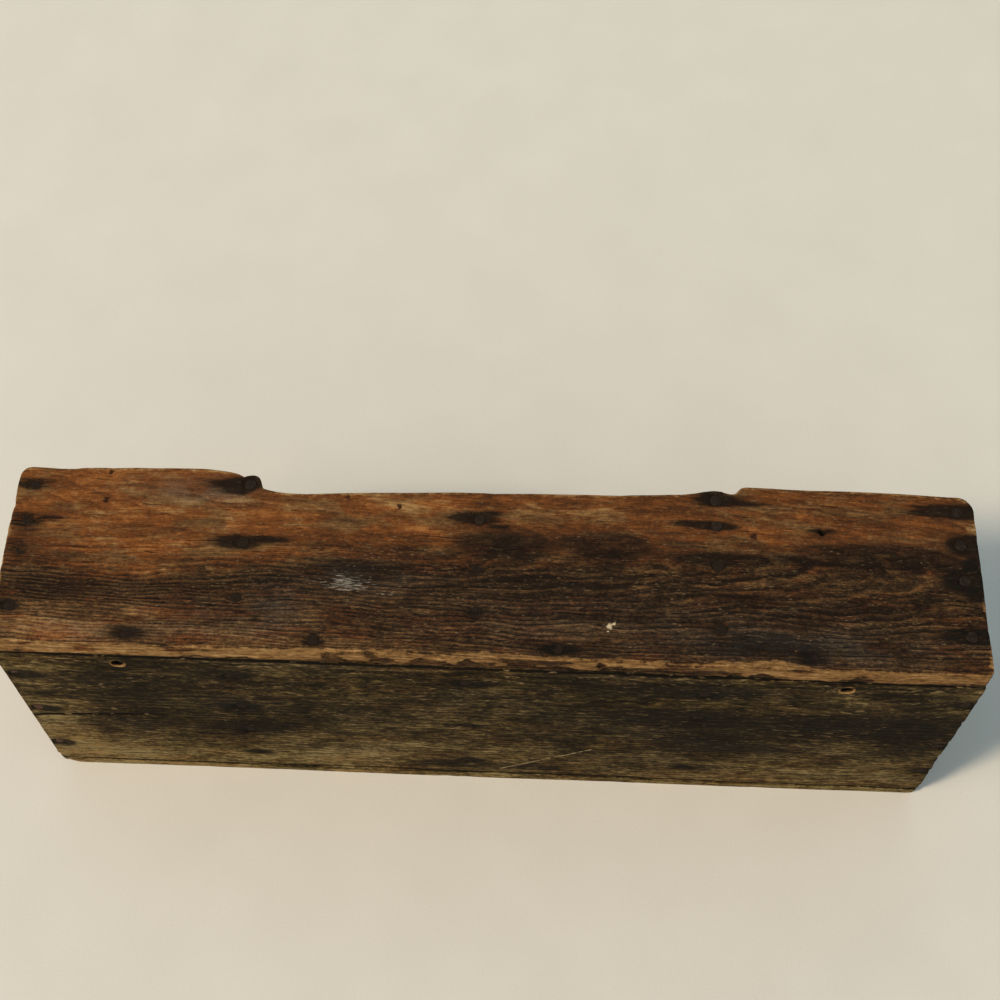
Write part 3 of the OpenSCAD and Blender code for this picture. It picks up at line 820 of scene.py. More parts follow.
# %% Lattice of the back board
back_low, back_high = board_box("back_board")
BACK_STEPS = (2.9, 1.8, 2.0)
HOLE_X, HOLE_Z = (-206.8, 199.6), 162.0
HOLE_RADIUS, HOLE_BLOCK, HOLE_CELLS, HOLE_RINGS = 3.5, 7.0, 16, 8
BACK_CRACK_Z, BACK_CRACK_HALF = 80.1, 1.4
hole_lines = np.linspace(-HOLE_BLOCK, HOLE_BLOCK, HOLE_CELLS + 1)
hole_marks = [(x, 1, 9) for x in HOLE_X]
back_x = board_ticks(X_AXIS, back_low, back_high, BACK_STEPS[0], nail_marks("back", 1.2) + hole_marks)
back_x = with_lines(back_x, np.add.outer(HOLE_X, hole_lines).ravel(), 0.5)
back_y = board_ticks(Y_AXIS, back_low, back_high, BACK_STEPS[1])
back_z = board_ticks(Z_AXIS, back_low, back_high, BACK_STEPS[2], [(HOLE_Z, 1, 7)])
crack_lines = BACK_CRACK_Z + BACK_CRACK_HALF * CRACK_LINES
back_z = with_lines(back_z, np.concatenate([HOLE_Z + hole_lines, crack_lines]), 0.4)
flat, quads, number = box_skin(back_x, back_y, back_z)
print("back board lattice:", len(back_x), "by", len(back_y), "by", len(back_z))

# %% [markdown]
# A long drying crack also opens at the left end of the back board and climbs slowly along the grain. Five
# lines of the lattice are bent to follow it, so that a narrow groove can be sunk between them. Then the
# holes are opened, and each array gets rows for the new points of the bores.

# %% Outline of the back board
BACK_CORNERS = {(-1, -1): 2, (1, -1): 2, (1, 1): 2, (-1, 1): 2}
CRACK_RISE, CRACK_LENGTH, CRACK_BEND = 9.0, 96.0, 26
FAR_FROM_EDGES = 99.0
gap = edge_gap(flat, back_low, back_high)
# Calmer wear at the left end, sharper edges at the foot, and a rounder upper edge
calm = 1 - 0.85 * ease((-250 - flat[:, 0]) / 20)
tight = 1 - 0.75 * ease((24 - flat[:, 2]) / 6)
upper_edge = 0.8 * ease((flat[:, 2] - 166) / 5)
radius = worn_radius(flat, X_AXIS, 0.4 + 0.2 * calm, seed=31, wear=calm) + upper_edge
points, way = round_edges(flat, back_low, back_high, radius * tight)
points = round_corners(points, back_low, back_high, (X_AXIS, Z_AXIS), BACK_CORNERS)
climb = CRACK_RISE * np.clip((points[:, 0] - back_low[0]) / CRACK_LENGTH, 0, 1.3)
points[:, 2] += climb * bell(flat[:, 2] - BACK_CRACK_Z, CRACK_BEND) * ease((-120 - points[:, 0]) / 60)
bores = []
for hole_x in HOLE_X:
    centre = (hole_x, HOLE_Z)
    points = round_block(points, centre, HOLE_RADIUS, HOLE_BLOCK)
    points, quads, bore = pierce(points, quads, number, back_x, back_z, centre, HOLE_RADIUS, HOLE_RINGS)
    bores.append(bore)
added = sum(len(bore) for bore in bores)
in_bore = np.concatenate([np.zeros(len(flat)), np.ones(added)])
flat = np.concatenate([flat, *bores])
way = np.concatenate([way, np.zeros((added, 3))])
gap = np.concatenate([gap, np.full(added, FAR_FROM_EDGES)])
quads, points, flat, way, gap, in_bore = drop_loose(quads, points, flat, way, gap, in_bore)
print("points of the bores:", added)

# %% Wear of the back board
behind = facing(way, Y_AXIS, -1)
pits = nail_pits(points, "back") * behind
# The crack stays off the inner face, and closes towards its tip and right at the sawn end
crack = open_crack(flat[:, 2] - BACK_CRACK_Z, BACK_CRACK_HALF) * (way[:, 1] < 0.3)
crack = crack * ease((back_low[0] + CRACK_LENGTH - points[:, 0]) / 40)
calm_end = 1 - 0.7 * (way[:, 0] < -0.3)
depth = weathering(points, way, X_AXIS, seed=32, torn_low=0.12, torn_high=0.6) * calm_end + pits
depth = depth + CRACK_DEPTH * crack * ease((flat[:, 0] - back_low[0]) / 9)
back_points = points - way * depth[:, None]
print("deepest wear of the back board:", round(depth.max(), 2))

# %% [markdown]
# ## Light and dark on the back board
#
# The back has hung against a wall and stayed grey brown, pale at its ends and along its foot and nearly
# black in the middle. The drill left a pale ring of fresh wood round each hole, widest below it. The same
# kinds of fields describe all this.

# %% Fields of the back board
BACK_LIGHT = [
    (-90, 138, 42, 30, 0.1), (-32, 104, 30, 20, 0.16), (8, 104, 13, 26, 0.16), (204, 143, 20, 12, 0.26),
    (-75, 48, 62, 13, 0.08), (172, 46, 30, 12, 0.08), (270, 162, 14, 12, 0.3), (-175, 46, 30, 9, 0.06),
]
BACK_DIRT = [
    (-200, 128, 48, 46, 0.5), (-212, 74, 40, 20, 0.45), (-145, 105, 13, 11, 1.0), (-146, 71, 26, 13, 0.9),
    (-118, 80, 26, 16, 0.45), (-145, 152, 14, 6, 1.4), (-10, 152, 18, 6, 1.1), (-14, 88, 14, 4, 1.0),
    (48, 157, 17, 9, 1.0), (114, 152, 36, 10, 1.8), (108, 114, 36, 11, 1.7), (130, 74, 34, 22, 0.9),
    (200, 108, 46, 24, 0.85), (252, 96, 24, 40, 0.7), (127, 33, 19, 6, 1.1), (-24, 24, 34, 9, 1.0),
    (34, 20, 19, 9, 0.9), (70, 82, 60, 30, 0.2), (175, 66, 40, 8, 0.4), (-145, 31, 14, 5, 0.9),
]
# Tone at heights up the board
BACK_TONE = np.array([(16, 0.5), (30, 0.54), (52, 0.47), (80, 0.35), (110, 0.3), (150, 0.29), (172, 0.33)])
# Stains start right of a nail's middle, are wider than the lower board's, and are stronger at the ends
STAIN_SHIFT, STAIN_WIDE, END_NAILS = (2, 0), 1.4, 200
# Pale ring of a hole: where it starts, is whole, starts to fade and ends, from the hole's middle
RING_START, RING_WHOLE, RING_FADES, RING_ENDS = 3.2, 3.7, 4.1, 5.3
x, y, z = back_points.T
# Painted light: the right part is a little darker, as the light falls from the left
tone = np.interp(z, *BACK_TONE.T) + ovals(x, z, BACK_LIGHT + BACK_FOOT) - 0.04 * ease((x - 20) / 120)
# A pale band with a ragged border at the left end
tone = tone + 0.3 * ease((-236 - x + 26 * (clouds(back_points, (30, 9, 26), seed=37) - 0.5)) / 20)
around = np.hypot(x[:, None] - HOLE_X, (z - HOLE_Z)[:, None]).min(1)
ring = ease((around - RING_START) / (RING_WHOLE - RING_START))
ring = ring * ease((RING_ENDS - around) / (RING_ENDS - RING_FADES)) * behind
ring = ring * (0.6 + 0.4 * ease((HOLE_Z + 1 - z) / 3))
heads = face_nails["back"][:, in_face("back")]
strength = np.where(np.abs(heads[:, 0]) > END_NAILS, 1.5, 0.95)
back_stains = seeded_stains(heads + STAIN_SHIFT, 6, short=7, long=15, strength=strength, wide=STAIN_WIDE)
make_board("back_board", back_points, quads, way, X_AXIS, {
    "tone": tone - 0.15 * sawn_end(way, X_AXIS) + 0.5 * ring,
    "dirt": ovals(x, z, BACK_DIRT) * behind,
    "bare": np.maximum(0.45 * bell(gap, 1.5) * (z > 30), 1.25 * ring),
    "stain": stains(x, z, back_stains) * behind,
    # Painted shade in the nail pits, the crack and the bores, and a painted shadow line along the top of
    # the face, under the joint with the top board
    "pit": pits / 5 + 1.7 * crack + 0.85 * in_bore + 1.4 * behind * ease((z - back_high[2] + 1.7) / 1.0),
    "inside": belongs_to(way, Y_AXIS, 1),
    "grey": 0.3 * behind * clouds(back_points, (80, 20, 22), seed=35) ** 1.5,
    "scuff": 0.16 * behind * clouds(back_points, (34, 20, 12), seed=36) ** 3,
})

# %% [markdown]
# ## End boards and dividers
#
# Five upright boards stand between the long ones with their grain running up. They are the same kind of
# skin with less wear, because only their front edges and the outer faces of the ends were ever touched.
# One function shapes all five, another gives their fields, and the seeds give each its own hollows.

# %% Upright boards
UPRIGHT_STEPS = (1.8, 2.1, 2.6)
# Reach of the rounder front edge, and of the painted shade in the corners of the bays
FRONT_REACH, CORNER_SHADE_REACH = 6, 12
# Slot, seed and outer side of each upright board
UPRIGHTS = {
    "left_end": ("end_wood", 41, -1),
    "right_end": ("end_wood", 51, 1),
    "left_divider": ("inner_wood", 61, 0),
    "middle_divider": ("inner_wood", 71, 0),
    "right_divider": ("inner_wood", 81, 0),
}


def upright_fields(points, way, gap, low, high, seed, outer_side):
    """Fields of an upright board. Its front edge is rubbed by the square of the outward way's share along
    Y. An end's outer face counts as weathered, and all other faces as the inside of the bays."""
    outside = belongs_to(way, X_AXIS, outer_side)
    edge = facing(way, Y_AXIS, 1) ** 2
    # Painted shade: inside a bay the tone falls towards its back and towards its top and bottom corners,
    # and at the corners iron black and dirt are laid as part of that shade
    deep_shade = ease((high[1] - points[:, 1]) / (high[1] - low[1]))
    corner = bell(np.minimum(points[:, 2] - low[2], high[2] - points[:, 2]), CORNER_SHADE_REACH)
    mottled = clouds(points, (30, 26, 80), seed + 8) - 0.5
    return {
        "tone": 0.62 + 0.3 * mottled - 0.16 * deep_shade - 0.14 * corner,
        "bare": np.maximum(0.55 * bell(gap, 1.4), 0.7 * edge),
        "stain": 0.35 * corner * clouds(points, (10, 12, 16), seed + 9) ** 2 * (1 - outside),
        "dirt": 0.7 * clouds(points, (24, 24, 60), seed + 12) ** 3 + 0.3 * corner,
        "inside": 1 - outside - 0.5 * edge,
        "grey": 0.5 * outside * clouds(points, (20, 20, 60), seed + 10),
        "scuff": 0.25 * outside * clouds(points, (20, 16, 30), seed + 11) ** 4,
    }


def upright(node, seed, outer_side):
    """An upright board as a worn skin, rounder and more rubbed the nearer a point is to the front edge."""
    low, high = board_box(node)
    flat, quads, _ = box_skin(*[board_ticks(axis, low, high, UPRIGHT_STEPS[axis]) for axis in range(3)])
    front = ease(1 - (high[1] - flat[:, 1]) / FRONT_REACH)
    points, way = round_edges(flat, low, high, worn_radius(flat, Z_AXIS, 0.6 + 0.5 * front, seed))
    rub = 0.8 * front * facing(way, Y_AXIS, 1) ** 2 * clouds(points, (9, 9, 22), seed + 5)
    points = points - way * (weathering(points, way, Z_AXIS, seed + 6) + rub)[:, None]
    fields = upright_fields(points, way, edge_gap(flat, low, high), low, high, seed, outer_side)
    make_board(node, points, quads, way, Z_AXIS, fields)


for node, (slot, seed, outer_side) in UPRIGHTS.items():
    upright(node, seed, outer_side)

# %% [markdown]
# ## Hammered nails
#
# The nails are wire nails with flat heads, beaten slightly uneven and sunk into the wood. A nail is a
# profile turned about its axis, so a row of nails is one array of nails by rings by points. The head's
# rim is bent a little by noise, always inwards, and single points close both ends.

# %% Profile and faces of a nail
NAIL_AROUND = 20
HEAD_RADIUS, HEAD_THICK, SHANK_RADIUS, NAIL_LENGTH = 3.75, 1.4, 1.6, 49.6
# Profile from the middle of the head to the point: radius and depth below the head's face
NAIL_PROFILE = np.array([
    (0.9, 0.0), (1.9, 0.02), (2.8, 0.04), (3.4, 0.1), (3.7, 0.3), (HEAD_RADIUS, 0.7), (3.68, 1.15),
    (3.3, HEAD_THICK), (SHANK_RADIUS, HEAD_THICK), (SHANK_RADIUS, 12), (SHANK_RADIUS, 28),
    (SHANK_RADIUS, 44), (0.8, 47.5), (0.25, 49.0),
])
NAIL_RINGS = len(NAIL_PROFILE)


def nail_faces(count, turned):
    """Quads between the rings of nails, and fans of triangles from a point in the head and from the tip.
    Points are numbered nail by nail and ring by ring; then come all head points and all tips."""
    ring = np.arange(count * NAIL_RINGS * NAIL_AROUND).reshape(count, NAIL_RINGS, NAIL_AROUND)
    ahead = np.roll(ring, -1, axis=2)
    quads = np.stack([ring[:, :-1], ring[:, 1:], ahead[:, 1:], ahead[:, :-1]], -1).reshape(-1, 4)
    middle = np.repeat((ring.size + np.arange(count))[:, None], NAIL_AROUND, 1)
    head = np.stack([middle, ring[:, 0], ahead[:, 0]], -1).reshape(-1, 3)
    tip = np.stack([middle + count, ahead[:, -1], ring[:, -1]], -1).reshape(-1, 3)
    return [polygons[:, ::-1] if turned else polygons for polygons in (quads, head, tip)]


print("faces of one nail:", [len(polygons) for polygons in nail_faces(1, False)])

# %% [markdown]
# Some heads lie bare and others are buried under dirt. The bare ones are those of the right end, and away
# from the left end those in the far half of the two long boards. At the left end of the back the heads
# are rusted red.

# %% Rows of nails
# Place along the box past which a nail is in an end board, and place across it past which heads lie bare
END_BOARD, BARE_FROM = 255, 12
BURIED_SINK, HEAD_DENT, HEAD_MIDDLE, HEAD_FADE = 0.3, 0.3, 0.15, 2


def hammered_row(node, seed):
    """A row of nails. Ring r and angle a of a nail lie at its axis plus radius times (cos a, sin a), and
    at the ring's depth plus a tilted plane and small dents, which fade out down the shank."""
    face = driven_face(node)
    axis, side = DRIVEN[face]
    u, v = in_face(face)
    heads = nail_rows[node]
    count = len(heads)
    random = np.random.default_rng(seed)
    angle = np.linspace(0, 2 * np.pi, NAIL_AROUND, endpoint=False)
    radius, depth = NAIL_PROFILE.T[:, None, :, None]
    tilt = random.uniform(0, 2 * np.pi, (count, 1, 1))
    lean = random.uniform(0.02, 0.1, (count, 1, 1))
    rim = 1 - 0.09 * (1 + np.sin(3 * angle + tilt)) / 2 - 0.07 * random.random((count, 1, NAIL_AROUND))
    reach = radius * np.where(depth < HEAD_FADE, rim, 1)
    at_back, at_left, at_right = axis == Y_AXIS, heads[:, 0] < -END_BOARD, heads[:, 0] >= END_BOARD
    buried = ~at_right & (at_back | (heads[:, 1] < BARE_FROM) | at_left)
    dents = HEAD_DENT * random.random((count, NAIL_RINGS, NAIL_AROUND))
    dents = dents + BURIED_SINK * buried[:, None, None]
    tilted = lean * (reach * np.cos(angle - tilt) + HEAD_RADIUS)
    body = np.repeat(np.repeat(heads[:, None, None, :], NAIL_RINGS, 1), NAIL_AROUND, 2)
    body[..., u] += reach * np.cos(angle)
    body[..., v] += reach * np.sin(angle)
    body[..., axis] -= side * (depth + np.clip(1 - depth / HEAD_FADE, 0, 1) * (tilted + dents))
    middles, tips = heads.copy(), heads.copy()
    middles[:, axis] -= side * (HEAD_MIDDLE + lean[:, 0, 0] * HEAD_RADIUS + BURIED_SINK * buried)
    tips[:, axis] -= side * NAIL_LENGTH
    points = np.concatenate([body.reshape(-1, 3), middles, tips])
    each = np.arange(count)
    nail = np.concatenate([np.repeat(each, NAIL_RINGS * NAIL_AROUND), each, each])
    rub = np.broadcast_to(np.clip(1 - depth / 0.5, 0, 1), body.shape[:3]).ravel()
    fields = {
        "rub": np.concatenate([rub, np.ones(count), np.zeros(count)]),
        "crust": np.where(buried, 0.9, 0.1)[nail],
        "rust": np.where(at_back & at_left, 1.0, 0.0)[nail],
    }
    turned = side * (-1 if at_back else 1) < 0
    return make_piece("hammered_" + node, points, nail_faces(count, turned), fields, node)


nail_pieces = [hammered_row(node, 100 + order) for order, node in enumerate(nail_rows)]

# %% [markdown]
# ## Shader maths as expressions
#
# A finish is a tree of nodes, and joining Math nodes by hand is hard to read. This small class wraps a
# socket, so that `1 - mask * 0.5` adds the nodes by itself. Every other node comes from `Finish.add`,
# which takes the node's type, its settings, and the values or links of its sockets.

# %% Readings
class Reading:
    """An output of a finish. Arithmetic on readings and plain numbers adds Math nodes."""

    def __init__(self, finish, socket):
        self.finish = finish
        self.socket = socket

    def math(self, operation, *values):
        return self.finish.add("ShaderNodeMath", {"operation": operation}, dict(enumerate(values)))

    def __add__(self, other):
        return self.math("ADD", self, other)

    __radd__ = __add__

    def __sub__(self, other):
        return self.math("SUBTRACT", self, other)

    def __rsub__(self, other):
        return self.math("SUBTRACT", other, self)

    def __mul__(self, other):
        return self.math("MULTIPLY", self, other)

    __rmul__ = __mul__

    def at_least(self, least):
        """The larger of this reading and a number."""
        return self.math("MAXIMUM", self, least)

    def step(self, low, high):
        """Smooth step of this reading: 0 at low and 1 at high. Low may be above high."""
        ends = {"Value": self, "From Min": low, "From Max": high}
        return self.finish.add("ShaderNodeMapRange", {"interpolation_type": "SMOOTHSTEP"}, ends)


def paint(red, green, blue):
    """A colour as it looks on a screen, 0 to 255, as the linear colour that a shader works with: below
    0.04045 a straight line, above it the power 2.4 of (c + 0.055) / 1.055."""
    c = np.array([red, green, blue]) / 255
    linear = np.where(c <= 0.04045, c / 12.92, ((c + 0.055) / 1.055) ** 2.4)
    return tuple(linear) + (1.0,)


def paints(*colours):
    """A row of colours, each given as it looks on a screen."""
    return tuple(paint(*colour) for colour in colours)


print("middle grey in a shader:", np.round(paint(128, 128, 128), 3))


# %% Finishes
class Finish:
    """A material with a Principled shader, and one method that adds any node to it."""

    def __init__(self, name):
        self.material = bpy.data.materials.new(name)
        self.material.use_nodes = True
        self.tree = self.material.node_tree
        self.shader = self.tree.nodes["Principled BSDF"]

    def add(self, kind, settings=None, sockets=None, out=0):
        """Adds a node: sets its settings, then sets or links its sockets, and reads one of its outputs."""
        node = self.tree.nodes.new(kind)
        for key, value in (settings or {}).items():
            if key == "stops":
                self.set_stops(node.color_ramp, value)
            else:
                setattr(node, key, value)
        for key, value in (sockets or {}).items():
            self.feed(node.inputs[key], value)
        return Reading(self, node.outputs[out])

    def feed(self, socket, value):
        """Links a reading to a socket, or sets the socket to a plain value."""
        if isinstance(value, Reading):
            self.tree.links.new(value.socket, socket)
        else:
            socket.default_value = value

    def set_stops(self, ramp, stops):
        """Gives a colour ramp its stops, each a place and a colour."""
        while len(ramp.elements) < len(stops):
            ramp.elements.new(1.0)
        for element, (place, colour) in zip(ramp.elements, stops):
            element.position = place
            element.color = colour

    def surface(self, **sockets):
        """Links or sets inputs of the shader; a name's underscores stand for spaces."""
        for key, value in sockets.items():
            self.feed(self.shader.inputs[key.replace("_", " ")], value)

    def field(self, name):
        """One of the numbers that the mesh carries per point, or 0 where it has none of that name."""
        return self.add("ShaderNodeAttribute", {"attribute_name": name}, {}, "Fac")

    def blend(self, share, first, second):
        """Colour between first and second by share."""
        return self.add("ShaderNodeMix", {"data_type": "RGBA"}, {0: share, 6: first, 7: second}, 2)

    def ramp(self, share, *colours):
        """Colour from a row of evenly spaced colours."""
        stops = [(k / (len(colours) - 1), colour) for k, colour in enumerate(colours)]
        return self.add("ShaderNodeValToRGB", {"stops": stops}, {0: share})

    def vector(self, operation, *values, out=0):
        """Vector maths on vectors, or on a reading that counts as a vector of equal parts."""
        return self.add("ShaderNodeVectorMath", {"operation": operation}, dict(enumerate(values)), out)

    def object_place(self):
        """Place of a point on its piece, in millimetres."""
        return self.vector("MULTIPLY", self.add("ShaderNodeTexCoord", {}, {}, "Object"), (1 / MM,) * 3)

    def in_cells(self, place, cell):
        """A place counted in cells that have a size along each axis, in millimetres."""
        return self.vector("MULTIPLY", place, tuple(1 / np.asarray(cell, float)))

    def noise(self, place, cell, detail=2.0, roughness=0.5, out=0):
        """Smooth noise from 0 to 1 in cells of a given size, with finer noise added for more detail."""
        counted = self.in_cells(place, cell)
        sockets = {"Vector": counted, "Scale": 1.0, "Detail": detail, "Roughness": roughness}
        return self.add("ShaderNodeTexNoise", {}, sockets, out)

    def bump(self, height, strength, distance):
        """Normal of a surface that is raised by a height, as far as a distance in metres."""
        sockets = {"Strength": strength, "Distance": distance, "Height": height}
        return self.add("ShaderNodeBump", {}, sockets)


print("a finish can:", [name for name in vars(Finish) if not name.startswith("_")])

# %% [markdown]
# ## The grain of old wood
#
# Growth rings are cylinders round the middle of the tree, and a board is a slice through them. A picture
# of stripes would only fit one face. Here the rings are worked out in space from the distance to the
# tree's middle line, so long faces, edges and sawn ends agree. All layers share a few noises with cells
# along the grain, so the finish keeps them, together with the colour that the layers are laid on.

# %% Wood with a grain
# Rings: their gap, their share of the tone, the sway of the grain, and the lean of the tree's middle line
Rings = namedtuple("Rings", "gap share sway lean")
# Texture: shares of streaks and of fine marks, size of fine cells, and cells of patches and of flecks
Texture = namedtuple("Texture", "streaky rough coarse patch fleck")
# Cells of the slow sway and of the short ripples of the grain, and how far a ripple goes
SWAY_CELL, RIPPLE_CELL, RIPPLE = (110, 34), (14, 30), 2.6


class OldWood(Finish):
    """A finish of old wood with its shared noises, each about zero: fibres, streaks and mottles follow
    the sway of the grain, and blotches and grit don't."""

    def __init__(self, name, grain, sway, texture):
        super().__init__(name)
        self.grain = grain
        self.texture = texture
        self.across = 1.0 - np.eye(3)[grain]
        self.place = self.object_place()
        self.bent = self.bend(sway)
        size = texture.coarse
        self.fibre = self.grain_noise(self.bent, 9 * size, 0.75 * size, 3.0, 0.6) - 0.5
        self.streak = self.grain_noise(self.bent, 42, 3.4, 6.0, 0.66) - 0.5
        self.mottle = self.grain_noise(self.bent, 4.4 * size, 2.2 * size, 4.0, 0.66) - 0.5
        self.blotch = self.grain_noise(self.place, *texture.patch, 4.0, 0.62) - 0.5
        self.grit = self.grain_noise(self.place, 1.6 * size, 1.1 * size, 1.0) - 0.5
        self.lined = self.field("line")
        self.inside = self.field("inside")

    def grain_noise(self, place, long, across, detail=2.0, roughness=0.5, out=0):
        """Smooth noise whose cells have one length along the grain and another across it."""
        return self.noise(place, along_grain(self.grain, long, across), detail, roughness, out)

    def bend(self, sway):
        """The place, moved across the grain by sway times slow noise less a half, and by short waves
        where the wave field asks for them."""
        slow = self.grain_noise(self.place, *SWAY_CELL, 3.0, 0.55, "Color")
        slow = self.vector("SUBTRACT", slow, (0.5, 0.5, 0.5))
        swayed = self.vector("MULTIPLY_ADD", slow, tuple(sway * self.across), self.place)
        wave = (self.grain_noise(self.place, *RIPPLE_CELL, 1.0) - 0.5) * self.field("wave")
        return self.vector("MULTIPLY_ADD", wave, tuple(RIPPLE * self.across), swayed)

    def late_wood(self, middle, rings):
        """Late wood of growth rings, about 1 in dark lines and below 0 in the palest wood. The tree's
        middle line passes through a point and leans by a share of the way along the grain. The ring
        number is the distance to that line over the gap; its fraction rises to a dark line at the ring's
        end, by a random share a year."""
        along = self.vector("DOT_PRODUCT", self.bent, tuple(np.eye(3)[self.grain]), out="Value")
        offset = self.vector("SUBTRACT", self.bent, self.vector("MULTIPLY_ADD", along, rings.lean, middle))
        offset = self.vector("MULTIPLY", offset, tuple(self.across))
        jitter = self.grain_noise(self.bent, 70, 2.2, 3.0)
        number = self.vector("LENGTH", offset, out="Value") * (1 / rings.gap) + jitter * 0.5
        count = {"W": number.math("FLOOR", number)}
        year = self.add("ShaderNodeTexWhiteNoise", {"noise_dimensions": "1D"}, count)
        part = number.math("FRACT", number)
        late = part.step(0.3, 0.85) * part.step(1.0, 0.92) * (year * 0.9 + 0.3)
        return (late - part.step(0.0, 0.12) * part.step(0.36, 0.2) * (1 - year) * 0.5) * self.lined

    def lay(self, share, colour):
        """Lays a colour over the wood by a share."""
        self.colour = self.blend(share, self.colour, colour)


print("cell of the sway along X:", along_grain(X_AXIS, *SWAY_CELL))

# %% [markdown]
# ## Light, dark and colour of the wood
#
# The tone from the mesh, the rings, the fibres and the dirt with its painted shade all push one number up
# and down, and a row of colours turns it into wood. Two rows are used, a redder and a more golden one,
# because old boards are never one hue, and slow noise chooses between them. Faces that look into the bays,
# and grey dirt with one painted sheen on the top board, have rows of their own.

# %% Layers of colour
BARE_INSIDE = paints((44, 32, 22), (74, 54, 35), (101, 77, 51), (126, 100, 70))
GREY_AND_SHEEN_COLOURS = paints((36, 31, 25), (66, 56, 44), (104, 90, 70))


def light_and_dark(wood, late, ring_share):
    """Tone of the wood: the tone field plus streaks, blotches and fine marks, less late wood, dirt and
    painted shade.
    Late wood shows most in pale blotches and on sawn ends."""
    streaky, rough, coarse = wood.texture[:3]
    end = wood.field("end")
    stirred = wood.field("dirt") + wood.blotch * 1.2 + wood.streak * (1.3 * streaky) + wood.mottle * 0.5
    wood.dirty = stirred.step(0.3, 0.8)
    fine = (wood.fibre * 0.85 + wood.mottle * 0.7 + wood.grit * 0.5) * rough * (wood.lined * 0.6 + 0.4)
    plain = wood.streak * (0.9 * streaky) + wood.blotch * (0.82 * coarse ** 1.4) + fine
    clear = (wood.blotch * 2.4 + 0.75 + end).at_least(0.1)
    return wood.field("tone") + plain * (1 - end * 0.6) - late * clear * ring_share - wood.dirty * 0.34


def lay_wood(wood, tone, reddish, golden):
    """The wood itself: a redder and a more golden row of colours, the bare inside, then grey dirt, which on
    the top board also holds a painted sheen.
    """
    long, across = wood.texture.patch
    choice = wood.grain_noise(wood.bent, long * 1.4, across * 0.9, 3.0, 0.6) + wood.mottle * 0.3
    choice = (choice + wood.lined * 0.14).step(0.52, 0.7)
    wood.colour = wood.ramp(tone, *reddish)
    wood.lay(choice * 0.8, wood.ramp(tone, *golden))
    wood.lay(wood.inside, wood.ramp(tone, *BARE_INSIDE))
    wood.lay(wood.field("grey") * wood.blotch.step(-0.2, 0.1), wood.ramp(tone, *GREY_AND_SHEEN_COLOURS))


print("colours inside and grey:", len(BARE_INSIDE), len(GREY_AND_SHEEN_COLOURS))

# %% [markdown]
# Over the wood lie the marks of use, rubbed ochre edges and black iron stains, and painted shade in
# cracks, pits, nicks, bores and joints.
# Each is a field from the mesh, or a noise, that is roughened by the shared noises and cut off by a
# smooth step, so its border frays along the fibres.

# %% Layers of use
OCHRE = paints((42, 27, 14), (93, 63, 33), (140, 101, 57), (184, 145, 95))
IRON_BLACK = paints((7, 6, 4), (27, 23, 17))
# Colour of the painted shade in pits, cracks, bores, joints, checks and nicks
HOLLOW_SHADE = paint(17, 13, 9)


def lay_rubbed(wood, tone):
    """Rubbed wood where the bare field, streaks and mottles add up to more than a half."""
    streaky = wood.texture.streaky
    bare = wood.field("bare")
    rubbed = (bare + wood.streak * 0.8 + wood.mottle * 1.1).step(0.46, 0.58)
    worn = wood.streak * (0.4 + 0.6 * streaky) + wood.fibre * 0.6 + wood.mottle * (1.6 - streaky)
    wood.lay(rubbed * 0.94, wood.ramp(tone * 0.3 + worn + bare * 0.4 + 0.12, *OCHRE))


def lay_iron(wood):
    """Iron stains, frayed by all the noises."""
    frayed = wood.streak * 1.1 + wood.fibre * 0.6 + wood.mottle * 0.7 + wood.blotch * 0.6
    wood.iron = (wood.field("stain") + frayed).step(0.3, 0.74)
    wood.lay(wood.iron * 0.92, wood.ramp(wood.mottle + 0.5, *IRON_BLACK))


def lay_hollows(wood):
    """Painted shade in the pits, cracks, bores and joints that the mesh marks, and in long drying checks
    and short nicks.
    """
    coarse = wood.texture.coarse
    check = wood.grain_noise(wood.bent, 60, 0.9 * coarse, 1.0).step(0.66, 0.74)
    check = check * wood.blotch.step(-0.08, 0.06)
    nick = wood.grain_noise(wood.bent, 5.5 * coarse ** 0.5, 1.0 * coarse, 2.0).step(0.35, 0.27)
    hollow = wood.field("pit").step(0.1, 0.75) + check * 0.75 + nick * (wood.lined * 0.7 + 0.3) * 0.6
    wood.hollow = wood.add("ShaderNodeClamp", {}, {0: hollow})
    wood.lay(wood.hollow, HOLLOW_SHADE)


print("colours of ochre and iron:", len(OCHRE), len(IRON_BLACK))

# %% [markdown]
# Last come pale marks: flecks of lint and dust, small round dots of dried splashes, scuffs, chips down to
# fresh wood, and one long scratch. Dots are the middles of Voronoi cells, which lie apart at random.

# %% Pale marks
FLECK_COLOUR, DOT_COLOUR = paints((146, 118, 80), (146, 118, 82))
SCUFF_COLOUR, SCRATCH_COLOUR = paints((156, 144, 124), (160, 138, 98))
# Cells of the dots, of the patches that they lie in, and of the lines of a scuff
DOT_CELL, DOT_PATCH, SCUFF_CELL = (6.0, 3.4), (30, 18), (5.5, 0.7)


